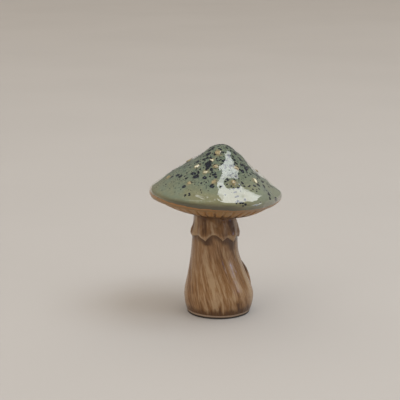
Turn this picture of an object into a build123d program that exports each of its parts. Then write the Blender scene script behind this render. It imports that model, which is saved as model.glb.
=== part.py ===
"""Glazed stoneware mushroom ornament, modelled as a potter puts it together.

A hollow cap is cast in two halves, a dome and a gill plate, which are luted at the rim with slip.
The hollow stem is cast by itself. Its spigot goes into a socket in the gill plate and is luted there.
A scalloped veil and a bark lobe are applied to the stem, and crushed glass chips are fused on the
cap's thick green glaze. Nothing moves.

Sizes are in millimetres and angles in degrees. The origin is the centre of the foot on the table,
+Z is up and the front faces -Y. The cap is drawn on its own axis, from its seat upwards, and is then
leant onto the stem.
"""

import os
from math import acos, atan2, cos, hypot, pi, radians, sin

from build123d import *

# Cap, drawn on its own axis with its seat at height 0
CAP_RADIUS = 36.6
CAP_HEIGHT = 37.8
RIM_HEIGHT = 10.1
APEX_RADIUS = 11.3
RIM_RADIUS = 3.7
SEAT_RADIUS = 18.0
CAP_WALL = 3.2
PLATE_WALL = 3.0
SEAM_SLIP = 0.4
GLAZE = 0.6
GLAZE_WRAP = 50.0

# Gills, grooves pressed into the underside
GILL_COUNT = 40
GILL_WIDTH = 1.0
GILL_DEPTH = 0.8
GILL_MARGIN = 1.6

# How the cap sits on the stem: sideways shift per unit of height, fall per unit of width
CAP_LEAN = 0.146
CAP_FALL = 0.051
CAP_OFFSET = -1.6
JOINT_HEIGHT = 58.5
JOINT_SHIFT = -2.2

# Luted joint between stem and cap
SPIGOT_RADIUS = 7.6
SPIGOT_STAND = 1.5
SOCKET_GAP = 0.4
SEAT_SLIP = 0.5
SLIP_RECESS = 0.6

# Stem: foot, bulge, calf and waist from the table up, neck and top from the joint down
FOOT_RADIUS = 17.1
FOOT_BEVEL = 0.9
BULGE_HEIGHT = 9.8
BULGE_RADIUS = 19.6
BULGE_SHIFT = -0.1
CALF_HEIGHT = 22.0
CALF_RADIUS = 16.7
CALF_SHIFT = -0.95
WAIST_HEIGHT = 34.0
WAIST_RADIUS = 13.6
WAIST_SHIFT = -2.2
NECK_DROP = 13.5
NECK_RADIUS = 12.7
NECK_SHIFT = -2.3
TOP_RADIUS = 10.8
STEM_WALL = 3.0
BASE_WALL = 4.0
CROWN_WALL = 4.0
DRAIN_RADIUS = 4.0
VENT_RADIUS = 4.5

# Veil, the scalloped skirt under the cap
VEIL_GAP = 1.6
VEIL_EDGE = 1.1
VEIL_DROP = 9.6
VEIL_LIP = 1.1
VEIL_THICKNESS = 2.4
VEIL_TURN_IN = 0.5
VEIL_ROOT = 1.7
ARCH_COUNT = 9
ARCH_RADIUS = 4.0
ARCH_RISE = 2.9
ARCH_SPARE = 1.2
ARCH_START = -92.0
ARCH_STRAY = 4.0

# Bark lobe, applied low on the stem's right-hand side, a little to the back
LOBE_HEIGHT = 21.0
LOBE_TALL = 8.3
LOBE_WIDE = 5.2
LOBE_DEEP = 3.0
LOBE_PROUD = 2.0
LOBE_TURN = 14.0
LOBE_LEAN = 19.0

# Chips fused on the glaze
AMBER_LENGTH = (2.0, 3.2)
AMBER_WIDE = 0.72
AMBER_TALL = 0.62
AMBER_SUNK = 0.42
AMBER_TIP = 8.0
AMBER_BEHIND = 9
AMBER_REACH = (0.2, 0.95)
COBALT_RADIUS = (0.4, 0.95)
COBALT_RISE = 0.34
COBALT_COUNT = 110
COBALT_CROWDING = 0.62
CHIP_GAP = 0.25
CHIP_MARGIN = 3.5
CHIP_SCATTER = (12.9898, 78.233, 43758.5453)

# Amber chips that face the front: turn from +X, and distance from the axis as a share of the flank
FRONT_AMBER = (
    (-103, 0.29),
    (-112, 0.43),
    (-135, 0.59),
    (-99, 0.54),
    (-112, 0.66),
    (-95, 0.84),
    (-125, 0.91),
    (-166, 0.94),
    (-57, 0.57),
    (-72, 0.86),
    (-38, 0.85),
)

# Cobalt chips that face the front: turn, share of the flank, and radius
FRONT_COBALT = (
    (-115, 0.53, 1.5),
    (-122, 0.48, 0.9),
    (-105, 0.61, 0.7),
    (-123, 0.78, 1.3),
    (-131, 0.73, 1.0),
    (-138, 0.33, 1.1),
    (-135, 0.44, 0.8),
    (-48, 0.64, 1.0),
    (-34, 0.60, 1.0),
    (-40, 0.52, 0.8),
    (-30, 0.30, 1.0),
    (-29, 0.42, 0.8),
    (-54, 0.36, 0.6),
    (-97, 0.93, 0.9),
    (-110, 0.77, 0.9),
    (-147, 0.84, 0.9),
    (-97, 0.70, 0.6),
    (-60, 0.87, 0.7),
    (-33, 1.15, 0.9),
    (-64, 1.17, 0.6),
    (-71, 1.18, 0.6),
    (-117, 1.10, 0.5),
)

APEX_CENTRE = (0.0, CAP_HEIGHT - APEX_RADIUS)
RIM_CENTRE = (CAP_RADIUS - RIM_RADIUS, RIM_HEIGHT)
BARE_RIM = RIM_RADIUS - GLAZE
FULL_TURN = 360.0
FAR = 4.0 * (CAP_RADIUS + CAP_HEIGHT)


def around(centre, radius, angle):
    """The point at a distance and an angle in radians from a centre, in the section plane."""
    return (centre[0] + radius * cos(angle), centre[1] + radius * sin(angle))


def between(span, share):
    """A size that lies a share of the way through a span."""
    return span[0] + (span[1] - span[0]) * share


def flank_normal():
    """Angle of the outward normal of the straight flank, which touches the apex and rim circles."""
    across = RIM_CENTRE[0] - APEX_CENTRE[0]
    up = RIM_CENTRE[1] - APEX_CENTRE[1]
    return atan2(up, across) + acos((APEX_RADIUS - RIM_RADIUS) / hypot(across, up))


def underside_normal(rim):
    """Angle of the outward normal of the underside, from the seat's edge to a rim of this radius."""
    across = SEAT_RADIUS - RIM_CENTRE[0]
    up = -RIM_CENTRE[1]
    return atan2(up, across) + acos(rim / hypot(across, up))


def turned(*edges):
    """The solid that a closed half-section in the XZ plane makes when it turns about Z."""
    return revolve(Plane.XZ * make_face(list(edges)), Axis.Z)


def upper_outline(inset, rim_end):
    """The cap's section from its top to an angle round the rim, drawn in by an inset: three edges."""
    apex = APEX_RADIUS - inset
    rim = RIM_RADIUS - inset
    flank = flank_normal()
    crown_end = around(APEX_CENTRE, apex, flank)
    rim_start = around(RIM_CENTRE, rim, flank)
    return [
        ThreePointArc(
            around(APEX_CENTRE, apex, pi / 2),
            around(APEX_CENTRE, apex, (pi / 2 + flank) / 2),
            crown_end,
        ),
        Line(crown_end, rim_start),
        ThreePointArc(
            rim_start,
            around(RIM_CENTRE, rim, (flank + rim_end) / 2),
            around(RIM_CENTRE, rim, rim_end),
        ),
    ]


def oblique(low, low_radius, high, high_radius):
    """A slanted cone from a low circle on the stem's axis to a high circle on the cap's axis."""
    return loft(
        [on_stem_axis(Pos(0, 0, low) * Circle(low_radius)), Pos(0, 0, high) * Circle(high_radius)],
        ruled=True,
    )


def lens(inset):
    """The cap's whole outer form, from its seat up, with the curved top drawn in by an inset."""
    outline = upper_outline(inset, underside_normal(RIM_RADIUS - inset))
    top, rim_end = outline[0] @ 0, outline[-1] @ 1
    waist = (0.0, rim_end.Y)
    crown = turned(*outline, Line(rim_end, waist), Line(waist, top))
    return crown + oblique(0.0, SEAT_RADIUS, rim_end.Y, rim_end.X)


def cap_cavity():
    """The hollow that the drained slip leaves: the lens drawn in by the dome's and the plate's walls."""
    apex = APEX_RADIUS - GLAZE - CAP_WALL
    flank, under = flank_normal(), underside_normal(BARE_RIM)
    out_flank = (cos(flank), sin(flank))
    out_under = (cos(under), sin(under))
    # how far out each straight inner wall lies along its own normal, and where the two walls cross
    reach_flank = apex + APEX_CENTRE[1] * out_flank[1]
    reach_under = BARE_RIM - PLATE_WALL + RIM_CENTRE[0] * out_under[0] + RIM_CENTRE[1] * out_under[1]
    cross = out_flank[0] * out_under[1] - out_flank[1] * out_under[0]
    corner = (
        (reach_flank * out_under[1] - reach_under * out_flank[1]) / cross,
        (reach_under * out_flank[0] - reach_flank * out_under[0]) / cross,
    )
    floor_radius = (reach_under - PLATE_WALL * out_under[1]) / out_under[0]
    top = around(APEX_CENTRE, apex, pi / 2)
    crown_end = around(APEX_CENTRE, apex, flank)
    waist = (0.0, corner[1])
    crown = turned(
        ThreePointArc(top, around(APEX_CENTRE, apex, (pi / 2 + flank) / 2), crown_end),
        Line(crown_end, corner),
        Line(corner, waist),
        Line(waist, top),
    )
    return crown + oblique(PLATE_WALL, floor_radius, corner[1], corner[0])


def slab(low, high):
    """A wide block between two heights."""
    return Pos(0, 0, (low + high) / 2) * Box(FAR, FAR, high - low)


def column(radius, low, high):
    """An upright cylinder between two heights."""
    return Pos(0, 0, (low + high) / 2) * Cylinder(radius, high - low)


def on_stem_axis(shape):
    """A shape drawn on the cap's axis, moved over to where the stem's axis meets the seat."""
    return Pos(-CAP_OFFSET, 0, 0) * shape


def leant(shape):
    """A cap piece, carried from the cap's own axis to its place on the stem."""
    rows = [
        [1.0, 0.0, CAP_LEAN, JOINT_SHIFT + CAP_OFFSET],
        [0.0, 1.0, 0.0, 0.0],
        [-CAP_FALL, 0.0, 1.0, JOINT_HEIGHT],
        [0.0, 0.0, 0.0, 1.0],
    ]
    return shape.transform_geometry(Matrix(rows))


def leant_point(point):
    """A point on the cap, carried the same way."""
    return Vector(
        point.X + CAP_LEAN * point.Z + JOINT_SHIFT + CAP_OFFSET,
        point.Y,
        point.Z - CAP_FALL * point.X + JOINT_HEIGHT,
    )


def gill_grooves():
    """One straight groove for each gap between gills, laid along the slanted underside."""
    outer = around(RIM_CENTRE, BARE_RIM, underside_normal(BARE_RIM))
    grooves = []
    for i in range(GILL_COUNT):
        turn = radians(FULL_TURN * i / GILL_COUNT)
        side = Vector(cos(turn), sin(turn), 0)
        inner_end = side * SEAT_RADIUS - Vector(CAP_OFFSET, 0, 0)
        outer_end = side * outer[0] + Vector(0, 0, outer[1])
        along = outer_end - inner_end
        below = along.cross(Vector(-side.Y, side.X, 0))
        groove = Box(along.length - 2 * GILL_MARGIN, GILL_WIDTH, 2 * GILL_DEPTH)
        grooves.append(Plane((inner_end + outer_end) * 0.5, along, below) * groove)
    return grooves


def cap_shells():
    """The dome, the slip ring in its seam and the gill plate, all on the cap's axis."""
    clay = lens(GLAZE) - cap_cavity()
    seam_low = RIM_HEIGHT - SEAM_SLIP / 2
    seam_high = RIM_HEIGHT + SEAM_SLIP / 2
    dome = clay & slab(seam_high, FAR)
    seam = clay & slab(seam_low, seam_high)
    socket = column(SPIGOT_RADIUS + SOCKET_GAP, -PLATE_WALL, 2 * PLATE_WALL)
    plate = (clay & slab(-FAR, seam_low)) - on_stem_axis(socket) - gill_grooves()
    return dome, seam, plate


def glaze_coat():
    """The glaze: an even coat over the dome that rolls under the rim and ends in a rounded edge."""
    end = -radians(GLAZE_WRAP)
    outside = upper_outline(0.0, end)
    inside = upper_outline(GLAZE, end)
    middle = around(RIM_CENTRE, RIM_RADIUS - GLAZE / 2, end)
    bead = (middle[0] + GLAZE / 2 * sin(end), middle[1] - GLAZE / 2 * cos(end))
    edge = ThreePointArc(outside[-1] @ 1, bead, inside[-1] @ 1)
    axis = Line(inside[0] @ 0, outside[0] @ 0)
    return turned(*outside, edge, *inside, axis)


def cap_spot(turn, distance):
    """A plane on the leant glaze, its Z outward, at a turn and a distance from the cap's axis."""
    flank = flank_normal()
    if distance < APEX_RADIUS * cos(flank):
        normal = acos(distance / APEX_RADIUS)
        height = APEX_CENTRE[1] + APEX_RADIUS * sin(normal)
    else:
        normal = flank
        start = around(APEX_CENTRE, APEX_RADIUS, flank)
        height = start[1] - (distance - start[0]) * cos(flank) / sin(flank)
    side = Vector(cos(radians(turn)), sin(radians(turn)), 0)
    point = side * distance + Vector(0, 0, height)
    downhill = side * sin(normal) - Vector(0, 0, cos(normal))
    along = Vector(-side.Y, side.X, 0)
    here, below, beside = (leant_point(p) for p in (point, point + downhill, point + along))
    return Plane(here, below - here, (below - here).cross(beside - here))


def spread(i, salt):
    """A scattered share from 0 to 1 for the i-th chip, another one for each salt."""
    step, shift, stretch = CHIP_SCATTER
    return stretch * sin(step * (i + 1) + shift * salt) % 1.0


def amber_chip(spot, length, i):
    """An angular glass granule, bedded in the glaze and turned its own way, and its reach."""
    wide, tall = length * AMBER_WIDE, length * AMBER_TALL
    turn = Rot(AMBER_TIP * sin(i), AMBER_TIP * cos(i), FULL_TURN * spread(i, 1))
    granule = turn * Box(length, wide, tall)
    return spot * Pos(0, 0, tall * (0.5 - AMBER_SUNK)) * granule, hypot(length, wide) / 2


def cobalt_chip(spot, radius, _):
    """A melted dark blue droplet, a low round cap on the glaze, and its reach."""
    rise = COBALT_RISE * radius
    ball = (radius**2 + rise**2) / (2 * rise)
    return spot * Pos(0, 0, rise - ball) * Sphere(ball), radius


def chip_places():
    """Every chip's kind, turn, share of the way down the flank, and size."""
    places = []
    for i, (turn, share) in enumerate(FRONT_AMBER):
        places.append((amber_chip, turn, share, between(AMBER_LENGTH, spread(i, 0))))
    for i in range(AMBER_BEHIND):
        turn = FULL_TURN / 2 * (i + 0.5) / AMBER_BEHIND
        share = between(AMBER_REACH, spread(i, 1))
        places.append((amber_chip, turn, share, between(AMBER_LENGTH, spread(i, 2))))
    for turn, share, radius in FRONT_COBALT:
        places.append((cobalt_chip, turn, share, radius))
    for i in range(COBALT_COUNT):
        share = spread(i, 1) ** COBALT_CROWDING
        places.append((cobalt_chip, FULL_TURN * spread(i, 0), share, between(COBALT_RADIUS, spread(i, 2))))
    return places


def chips():
    """The amber and the cobalt chips, each clear of the others and cut to sit on the glaze."""
    flank_reach = RIM_CENTRE[0] - CHIP_MARGIN
    glazed = leant(lens(0.0))
    taken = []
    made = {amber_chip: [], cobalt_chip: []}
    for i, (make, turn, share, size) in enumerate(chip_places()):
        spot = cap_spot(turn, flank_reach * share)
        chip, reach = make(spot, size, i)
        if all((spot.origin - other).length > reach + room + CHIP_GAP for other, room in taken):
            taken.append((spot.origin, reach))
            made[make].append(chip - glazed)
    return made[amber_chip], made[cobalt_chip]


def stem_form(inset, low, high):
    """The stem's round form, drawn in by an inset: a smooth loft up to the neck, a taper above it."""
    stations = (
        (low, FOOT_RADIUS, 0.0),
        (BULGE_HEIGHT, BULGE_RADIUS, BULGE_SHIFT),
        (CALF_HEIGHT, CALF_RADIUS, CALF_SHIFT),
        (WAIST_HEIGHT, WAIST_RADIUS, WAIST_SHIFT),
        (JOINT_HEIGHT - NECK_DROP, NECK_RADIUS, NECK_SHIFT),
        (high, TOP_RADIUS, JOINT_SHIFT),
    )
    circles = [Pos(x, 0, z) * Circle(radius - inset) for z, radius, x in stations]
    return loft(circles[:-1]) + loft(circles[-2:], ruled=True)


def stem_outside():
    """The stem's outer form with its bevelled foot, run on past the joint for the seat to trim."""
    above = JOINT_HEIGHT + CAP_FALL * CAP_RADIUS
    foot = Pos(0, 0, FOOT_BEVEL / 2) * Cone(FOOT_RADIUS - FOOT_BEVEL, FOOT_RADIUS, FOOT_BEVEL)
    return foot + stem_form(0.0, FOOT_BEVEL, above)


def stem_body(outside):
    """The hollow stem: trimmed to the cap's seat, with its spigot, its vent and the drain in its foot."""
    above_seat = leant(slab(-SEAT_SLIP, FAR))
    spigot_top = PLATE_WALL + SPIGOT_STAND
    spigot = leant(on_stem_axis(column(SPIGOT_RADIUS, -SEAT_SLIP, spigot_top)))
    vent = leant(on_stem_axis(column(VENT_RADIUS, -2 * CROWN_WALL, spigot_top + CROWN_WALL)))
    hollow = stem_form(STEM_WALL, BASE_WALL, JOINT_HEIGHT - SEAT_SLIP - CROWN_WALL)
    drain = column(DRAIN_RADIUS, -BASE_WALL, 2 * BASE_WALL)
    return outside - above_seat + spigot - hollow - vent - drain


def joint_slip():
    """The slip that lutes the stem to the cap: a disc on the seat and a sleeve in the socket."""
    disc = column(TOP_RADIUS - SLIP_RECESS, -SEAT_SLIP, 0.0)
    sleeve = column(SPIGOT_RADIUS + SOCKET_GAP, 0.0, PLATE_WALL)
    return leant(on_stem_axis(disc + sleeve - column(SPIGOT_RADIUS, -SEAT_SLIP, PLATE_WALL)))


def veil(outside):
    """The applied skirt: it flares down from under the cap to a thick lip with arches cut in it."""
    top = JOINT_HEIGHT - VEIL_GAP
    lip_height = top - VEIL_DROP
    lip_radius = NECK_RADIUS + VEIL_LIP
    heart = NECK_RADIUS - VEIL_ROOT
    upper_edge = (TOP_RADIUS + VEIL_EDGE, top)
    shoulder = (lip_radius, lip_height)
    hem = (lip_radius - VEIL_TURN_IN, lip_height - VEIL_THICKNESS)
    roll = (lip_radius - VEIL_TURN_IN / 4, lip_height - VEIL_THICKNESS / 2)
    skirt = turned(
        Line((heart, lip_height), (heart, top)),
        Line((heart, top), upper_edge),
        Line(upper_edge, shoulder),
        ThreePointArc(shoulder, roll, hem),
        Line(hem, (heart, lip_height)),
    )
    arch_height = lip_height - VEIL_THICKNESS + ARCH_RISE - ARCH_RADIUS
    drill = Rot(0, 90, 0) * Cylinder(ARCH_RADIUS, 2 * VEIL_ROOT + lip_radius)
    arch = Pos(lip_radius, 0, arch_height) * drill
    arches = []
    for i in range(ARCH_COUNT):
        turn = ARCH_START + FULL_TURN * i / ARCH_COUNT + ARCH_STRAY * sin(2 * i)
        arches.append(Rot(0, 0, turn) * Pos(0, 0, -ARCH_SPARE * sin(i) ** 2) * arch)
    return Pos(NECK_SHIFT, 0, 0) * (skirt - arches) - outside


def bark_lobe(outside):
    """A raised lobe of bark, thick at its upper end, cut to sit on the stem."""
    share = (LOBE_HEIGHT - BULGE_HEIGHT) / (CALF_HEIGHT - BULGE_HEIGHT)
    surface = between((BULGE_RADIUS, CALF_RADIUS), share)
    shift = between((BULGE_SHIFT, CALF_SHIFT), share)
    lump = scale(Sphere(1.0), by=(LOBE_DEEP, LOBE_WIDE, LOBE_TALL))
    centre = Pos(surface + LOBE_PROUD - LOBE_DEEP, 0, LOBE_HEIGHT)
    placed = Rot(0, 0, LOBE_TURN) * centre * Rot(0, -LOBE_LEAN, 0) * lump
    return Pos(shift, 0, 0) * placed - outside


def build():
    """Every piece by its node name."""
    dome, seam, plate = cap_shells()
    outside = stem_outside()
    amber, cobalt = chips()
    return {
        "cap_dome": leant(dome),
        "cap_seam_slip": leant(seam),
        "gill_plate": leant(plate),
        "cap_glaze": leant(glaze_coat()),
        "amber_chips": Compound(children=amber),
        "cobalt_chips": Compound(children=cobalt),
        "stem_body": stem_body(outside),
        "stem_joint_slip": joint_slip(),
        "veil_skirt": veil(outside),
        "bark_lobe": bark_lobe(outside),
    }


if __name__ == "__main__":
    os.makedirs("parts", exist_ok=True)
    for name, shape in build().items():
        export_step(shape, f"parts/{name}.step")
        print(name, len(shape.solids()), "solids", round(shape.volume), "mm3")
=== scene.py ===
"""The dressed model of a glazed stoneware mushroom ornament.

The cap has a thick green glaze with crushed amber and cobalt glass fused on it. It sits on a stem whose
brown glaze runs in streaks like bark, under a scalloped veil. Sizes are in millimetres until a mesh is
made, which is in metres. The origin is the centre of the foot, +Z is up and the front faces -Y. A turn is
in degrees, anticlockwise from +X, and a reach is the distance from the cap's axis.
"""

import logging
import math
import random
from collections.abc import Callable
from dataclasses import dataclass
from enum import Enum

import bmesh
import bpy
import numpy as np
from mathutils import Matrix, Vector, noise

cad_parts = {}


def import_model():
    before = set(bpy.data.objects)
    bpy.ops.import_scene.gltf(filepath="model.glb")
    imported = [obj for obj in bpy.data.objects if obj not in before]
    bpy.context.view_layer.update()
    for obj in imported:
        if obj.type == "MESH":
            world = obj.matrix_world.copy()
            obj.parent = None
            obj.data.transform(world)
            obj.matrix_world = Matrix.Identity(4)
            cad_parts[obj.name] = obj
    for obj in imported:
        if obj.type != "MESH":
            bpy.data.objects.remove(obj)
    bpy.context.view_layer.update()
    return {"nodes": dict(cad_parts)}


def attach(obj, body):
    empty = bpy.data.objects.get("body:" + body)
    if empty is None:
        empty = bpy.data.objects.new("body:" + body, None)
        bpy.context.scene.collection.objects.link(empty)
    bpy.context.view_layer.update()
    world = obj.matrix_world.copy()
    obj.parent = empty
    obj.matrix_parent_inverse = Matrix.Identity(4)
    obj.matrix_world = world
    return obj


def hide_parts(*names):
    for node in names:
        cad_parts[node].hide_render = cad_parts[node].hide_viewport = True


MM = 0.001
ROOT = "root"
SAME_PLACE = 0.001 * MM
FULL_TURN = 2.0 * math.pi
UPRIGHT = np.array([0.0, 0.0, 1.0])

Array = np.ndarray
Material = bpy.types.Material
Piece = bpy.types.Object
Socket = bpy.types.NodeSocket
Triple = tuple[float, float, float]
Colour = Triple
# The two ends of a smooth step: where it is 0, and where it is 1.
Span = tuple[float, float]

log = logging.getLogger("mushroom")


class Slot(Enum):
    """The record's material slots."""

    CLAY = "cap_clay"
    SLIP = "joining_slip"
    GILL = "gill_glaze"
    GREEN = "green_glaze"
    AMBER = "amber_glass"
    COBALT = "cobalt_glass"
    STEM = "stem_glaze"
    VEIL = "veil_glaze"
    BARK = "bark_glaze"


def arithmetic(operation: str, turned: bool = False) -> Callable[["Amount", "Amount | float"], "Amount"]:
    """A method that puts an amount and another number through a Math node.

    Args:
        operation: the node's operation.
        turned: whether the other number comes first.

    Returns:
        The method.
    """

    def method(self: "Amount", other: "Amount | float") -> "Amount":
        """What the Math node makes of this amount and another number."""
        first, second = (other, self) if turned else (self, other)
        return self.recipe.math(operation, first, second)

    return method


class Amount:
    """A number that varies over a surface, with arithmetic that adds Math nodes."""

    def __init__(self, recipe: "Recipe", socket: Socket) -> None:
        """Keep the recipe and the socket that gives the number."""
        self.recipe = recipe
        self.socket = socket

    __add__ = __radd__ = arithmetic("ADD")
    __sub__ = arithmetic("SUBTRACT")
    __rsub__ = arithmetic("SUBTRACT", turned=True)
    __mul__ = __rmul__ = arithmetic("MULTIPLY")
    __truediv__ = arithmetic("DIVIDE")
    __rtruediv__ = arithmetic("DIVIDE", turned=True)
    most = arithmetic("MAXIMUM")

    def __neg__(self) -> "Amount":
        """This number with its sign turned."""
        return self * -1.0

    def step(self, low: float, high: float) -> "Amount":
        """A smooth step of this number, 0 at the low end and 1 at the high end.

        Args:
            low: where the step starts.
            high: where it ends, which may be the smaller of the two.

        Returns:
            The step, between 0 and 1.
        """
        turned = low > high
        ends = {"From Min": min(low, high), "From Max": max(low, high)}
        node = self.recipe.add(
            "ShaderNodeMapRange",
            {"interpolation_type": "SMOOTHSTEP"},
            {"Value": self, **ends, "To Min": float(turned), "To Max": float(not turned)},
        )
        return Amount(self.recipe, node.outputs[0])


class Recipe:
    """A node tree in the making, for a finish or for a form."""

    def __init__(self, tree: bpy.types.NodeTree) -> None:
        """Keep the tree that the nodes go into."""
        self.tree = tree

    def feed(self, socket: Socket, value: object) -> None:
        """Give an input socket a link or a value of its own.

        Args:
            socket: the input socket.
            value: an amount, another node's output socket, or a plain value.
        """
        if isinstance(value, Amount):
            value = value.socket
        if isinstance(value, Socket):
            self.tree.links.new(value, socket)
        elif socket.type == "RGBA" and len(value) == 3:
            socket.default_value = (*value, 1.0)
        else:
            socket.default_value = value

    def add(
        self,
        kind: str,
        settings: dict[str, object] | None = None,
        sockets: dict[int | str, object] | None = None,
    ) -> bpy.types.Node:
        """Add a node of any kind.

        Args:
            kind: the node's type.
            settings: its properties, set before its sockets.
            sockets: values or links of its inputs, by name or by place.

        Returns:
            The new node.
        """
        node = self.tree.nodes.new(kind)
        for name, value in (settings or {}).items():
            setattr(node, name, value)
        for key, value in (sockets or {}).items():
            self.feed(node.inputs[key], value)
        return node

    def math(self, operation: str, first: Amount | float, second: Amount | float) -> Amount:
        """What a Math node makes of two numbers."""
        node = self.add("ShaderNodeMath", {"operation": operation}, {0: first, 1: second})
        return Amount(self, node.outputs[0])

    def vector(self, operation: str, first: Socket, second: Socket | Triple) -> Socket:
        """What a Vector Math node makes of two vectors."""
        return self.add("ShaderNodeVectorMath", {"operation": operation}, {0: first, 1: second}).outputs[0]

    def scaled(self, vector: Socket, by: Amount | float) -> Socket:
        """A vector made longer or shorter by a number."""
        return self.add("ShaderNodeVectorMath", {"operation": "SCALE"}, {0: vector, "Scale": by}).outputs[0]

    def noise(
        self, at: Socket, scale: float, detail: float = 2.0, rough: float = 0.5, warp: float = 0.0
    ) -> Amount:
        """A cloudy number from 0 to 1 that follows a place.

        Args:
            at: the place.
            scale: how many clouds there are in one unit of length.
            detail: how many finer layers lie over the first.
            rough: how strong the finer layers are.
            warp: how far the clouds are pulled about.

        Returns:
            The number, mostly near 0.5.
        """
        sockets = {"Vector": at, "Scale": scale, "Detail": detail, "Roughness": rough, "Distortion": warp}
        return Amount(self, self.add("ShaderNodeTexNoise", None, sockets).outputs[0])


class FinishRecipe(Recipe):
    """The nodes of one finish, which end in a Principled shader."""

    def __init__(self, name: str) -> None:
        """Start a material of this name with nothing but its shader and its output."""
        self.material = bpy.data.materials.new(name)
        self.material.use_nodes = True
        super().__init__(self.material.node_tree)
        self.tree.nodes.clear()
        self.shader = self.add("ShaderNodeBsdfPrincipled")
        self.add("ShaderNodeOutputMaterial", None, {"Surface": self.shader.outputs[0]})

    def place(self) -> Socket:
        """The place on the object, in millimetres."""
        return self.scaled(self.add("ShaderNodeTexCoord").outputs["Object"], 1.0 / MM)

    def parts(self, vector: Socket) -> list[Amount]:
        """The X, Y and Z of a vector."""
        return [Amount(self, part) for part in self.add("ShaderNodeSeparateXYZ", None, {0: vector}).outputs]

    def carried(self, name: str) -> Amount:
        """A number that the mesh carries at its points."""
        return Amount(self, self.add("ShaderNodeAttribute", {"attribute_name": name}).outputs["Fac"])

    def carried_vector(self, name: str) -> Socket:
        """A vector that the mesh carries at its points."""
        return self.add("ShaderNodeAttribute", {"attribute_name": name}).outputs["Vector"]

    def cells(self, at: Socket, scale: float) -> tuple[Amount, Amount]:
        """Scattered cells: the distance to the nearest heart, and a number of each cell's own.

        Args:
            at: the place.
            scale: how many cells there are in one unit of length.

        Returns:
            The distance as a share of a cell, and the cell's own number from 0 to 1.
        """
        node = self.add("ShaderNodeTexVoronoi", None, {"Vector": at, "Scale": scale})
        own = self.add("ShaderNodeSeparateColor", None, {0: node.outputs["Color"]})
        return Amount(self, node.outputs["Distance"]), Amount(self, own.outputs[0])

    def layered(self, ground: Colour, *layers: tuple[Amount, Colour]) -> Socket:
        """A colour with others laid over it, one after another.

        Args:
            ground: the lowest colour.
            layers: for each layer how much of it shows, and its colour.

        Returns:
            The mixed colour.
        """
        mixed = ground
        for share, colour in layers:
            sockets = {0: share, 6: mixed, 7: colour}
            mixed = self.add("ShaderNodeMix", {"data_type": "RGBA"}, sockets).outputs[2]
        return mixed

    def bump(self, height: Amount, distance: float) -> Socket:
        """The surface's normal with a fine relief on it.

        Args:
            height: the relief from 0 to 1.
            distance: how high 1 stands, in millimetres.

        Returns:
            The normal.
        """
        return self.add("ShaderNodeBump", None, {"Distance": distance * MM, "Height": height}).outputs[0]

    def done(self, **inputs: object) -> Material:
        """Feed the shader and give the finished material.

        Args:
            inputs: values or links of the shader's sockets, with _ for a space in a socket's name.

        Returns:
            The material.
        """
        for name, value in inputs.items():
            self.feed(self.shader.inputs[name.replace("_", " ")], value)
        return self.material


class FormRecipe(Recipe):
    """The nodes of one form, with named inputs for its sizes."""

    def __init__(self, name: str, sizes: dict[str, float]) -> None:
        """Start a tree with a mesh and these sizes going in, and a mesh coming out."""
        super().__init__(bpy.data.node_groups.new(name, "GeometryNodeTree"))
        self.sizes = sizes
        face = self.tree.interface
        face.new_socket("Geometry", in_out="INPUT", socket_type="NodeSocketGeometry")
        for size, value in sizes.items():
            kind = "NodeSocketInt" if isinstance(value, int) else "NodeSocketFloat"
            face.new_socket(size, in_out="INPUT", socket_type=kind).default_value = value
        face.new_socket("Geometry", in_out="OUTPUT", socket_type="NodeSocketGeometry")
        self.inputs = self.add("NodeGroupInput")

    def size(self, name: str) -> Amount:
        """One of the tree's own sizes."""
        return Amount(self, self.inputs.outputs[name])

    def attribute(self, name: str, kind: str) -> Socket:
        """What the mesh's points carry under a name, of a kind such as FLOAT or FLOAT_VECTOR."""
        return self.add("GeometryNodeInputNamedAttribute", {"data_type": kind}, {"Name": name}).outputs[0]

    def carried(self, name: str) -> Amount:
        """A number that the mesh's points carry."""
        return Amount(self, self.attribute(name, "FLOAT"))

    def chance(self, low: float, high: float, seed: int) -> Socket:
        """A random vector for each point, with each part between two numbers, from a fixed seed."""
        sockets = {0: (low,) * 3, 1: (high,) * 3, "Seed": seed}
        return self.add("FunctionNodeRandomValue", {"data_type": "FLOAT_VECTOR"}, sockets).outputs[0]

    def pushed(self, distance: Amount, title: str, value: Amount) -> Socket:
        """The mesh that goes in, with its points moved along their normals.

        Args:
            distance: how far each point moves, in metres.
            title: the name of a number that the points carry from then on.
            value: that number.

        Returns:
            The geometry.
        """
        normal = self.add("GeometryNodeInputNormal").outputs[0]
        moved = self.add(
            "GeometryNodeSetPosition",
            None,
            {"Geometry": self.inputs.outputs["Geometry"], "Offset": self.scaled(normal, distance)},
        )
        kept = self.add(
            "GeometryNodeStoreNamedAttribute",
            {"data_type": "FLOAT", "domain": "POINT"},
            {"Geometry": moved.outputs[0], "Name": title, "Value": value},
        )
        return kept.outputs[0]

    def shaped(self, piece: Piece, made: Socket, material: Material) -> None:
        """End the tree and turn what it makes of a piece into the piece's own plain mesh.

        Args:
            piece: the piece whose mesh goes in.
            made: the geometry that the tree makes.
            material: what the piece is dressed in.
        """
        real = self.add("GeometryNodeRealizeInstances", None, {0: made})
        dressed = self.add("GeometryNodeSetMaterial", None, {0: real.outputs[0], "Material": material})
        self.add("NodeGroupOutput", None, {0: dressed.outputs[0]})
        modifier = piece.modifiers.new(self.tree.name, "NODES")
        modifier.node_group = self.tree
        for item in self.tree.interface.items_tree:
            if item.in_out == "INPUT" and item.name in self.sizes:
                modifier[item.identifier] = self.sizes[item.name]
        graph = bpy.context.evaluated_depsgraph_get()
        mesh = bpy.data.meshes.new_from_object(
            piece.evaluated_get(graph), preserve_all_data_layers=True, depsgraph=graph
        )
        piece.modifiers.remove(modifier)
        rough = piece.data
        piece.data = mesh
        bpy.data.meshes.remove(rough)
        mesh.name = piece.name


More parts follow.
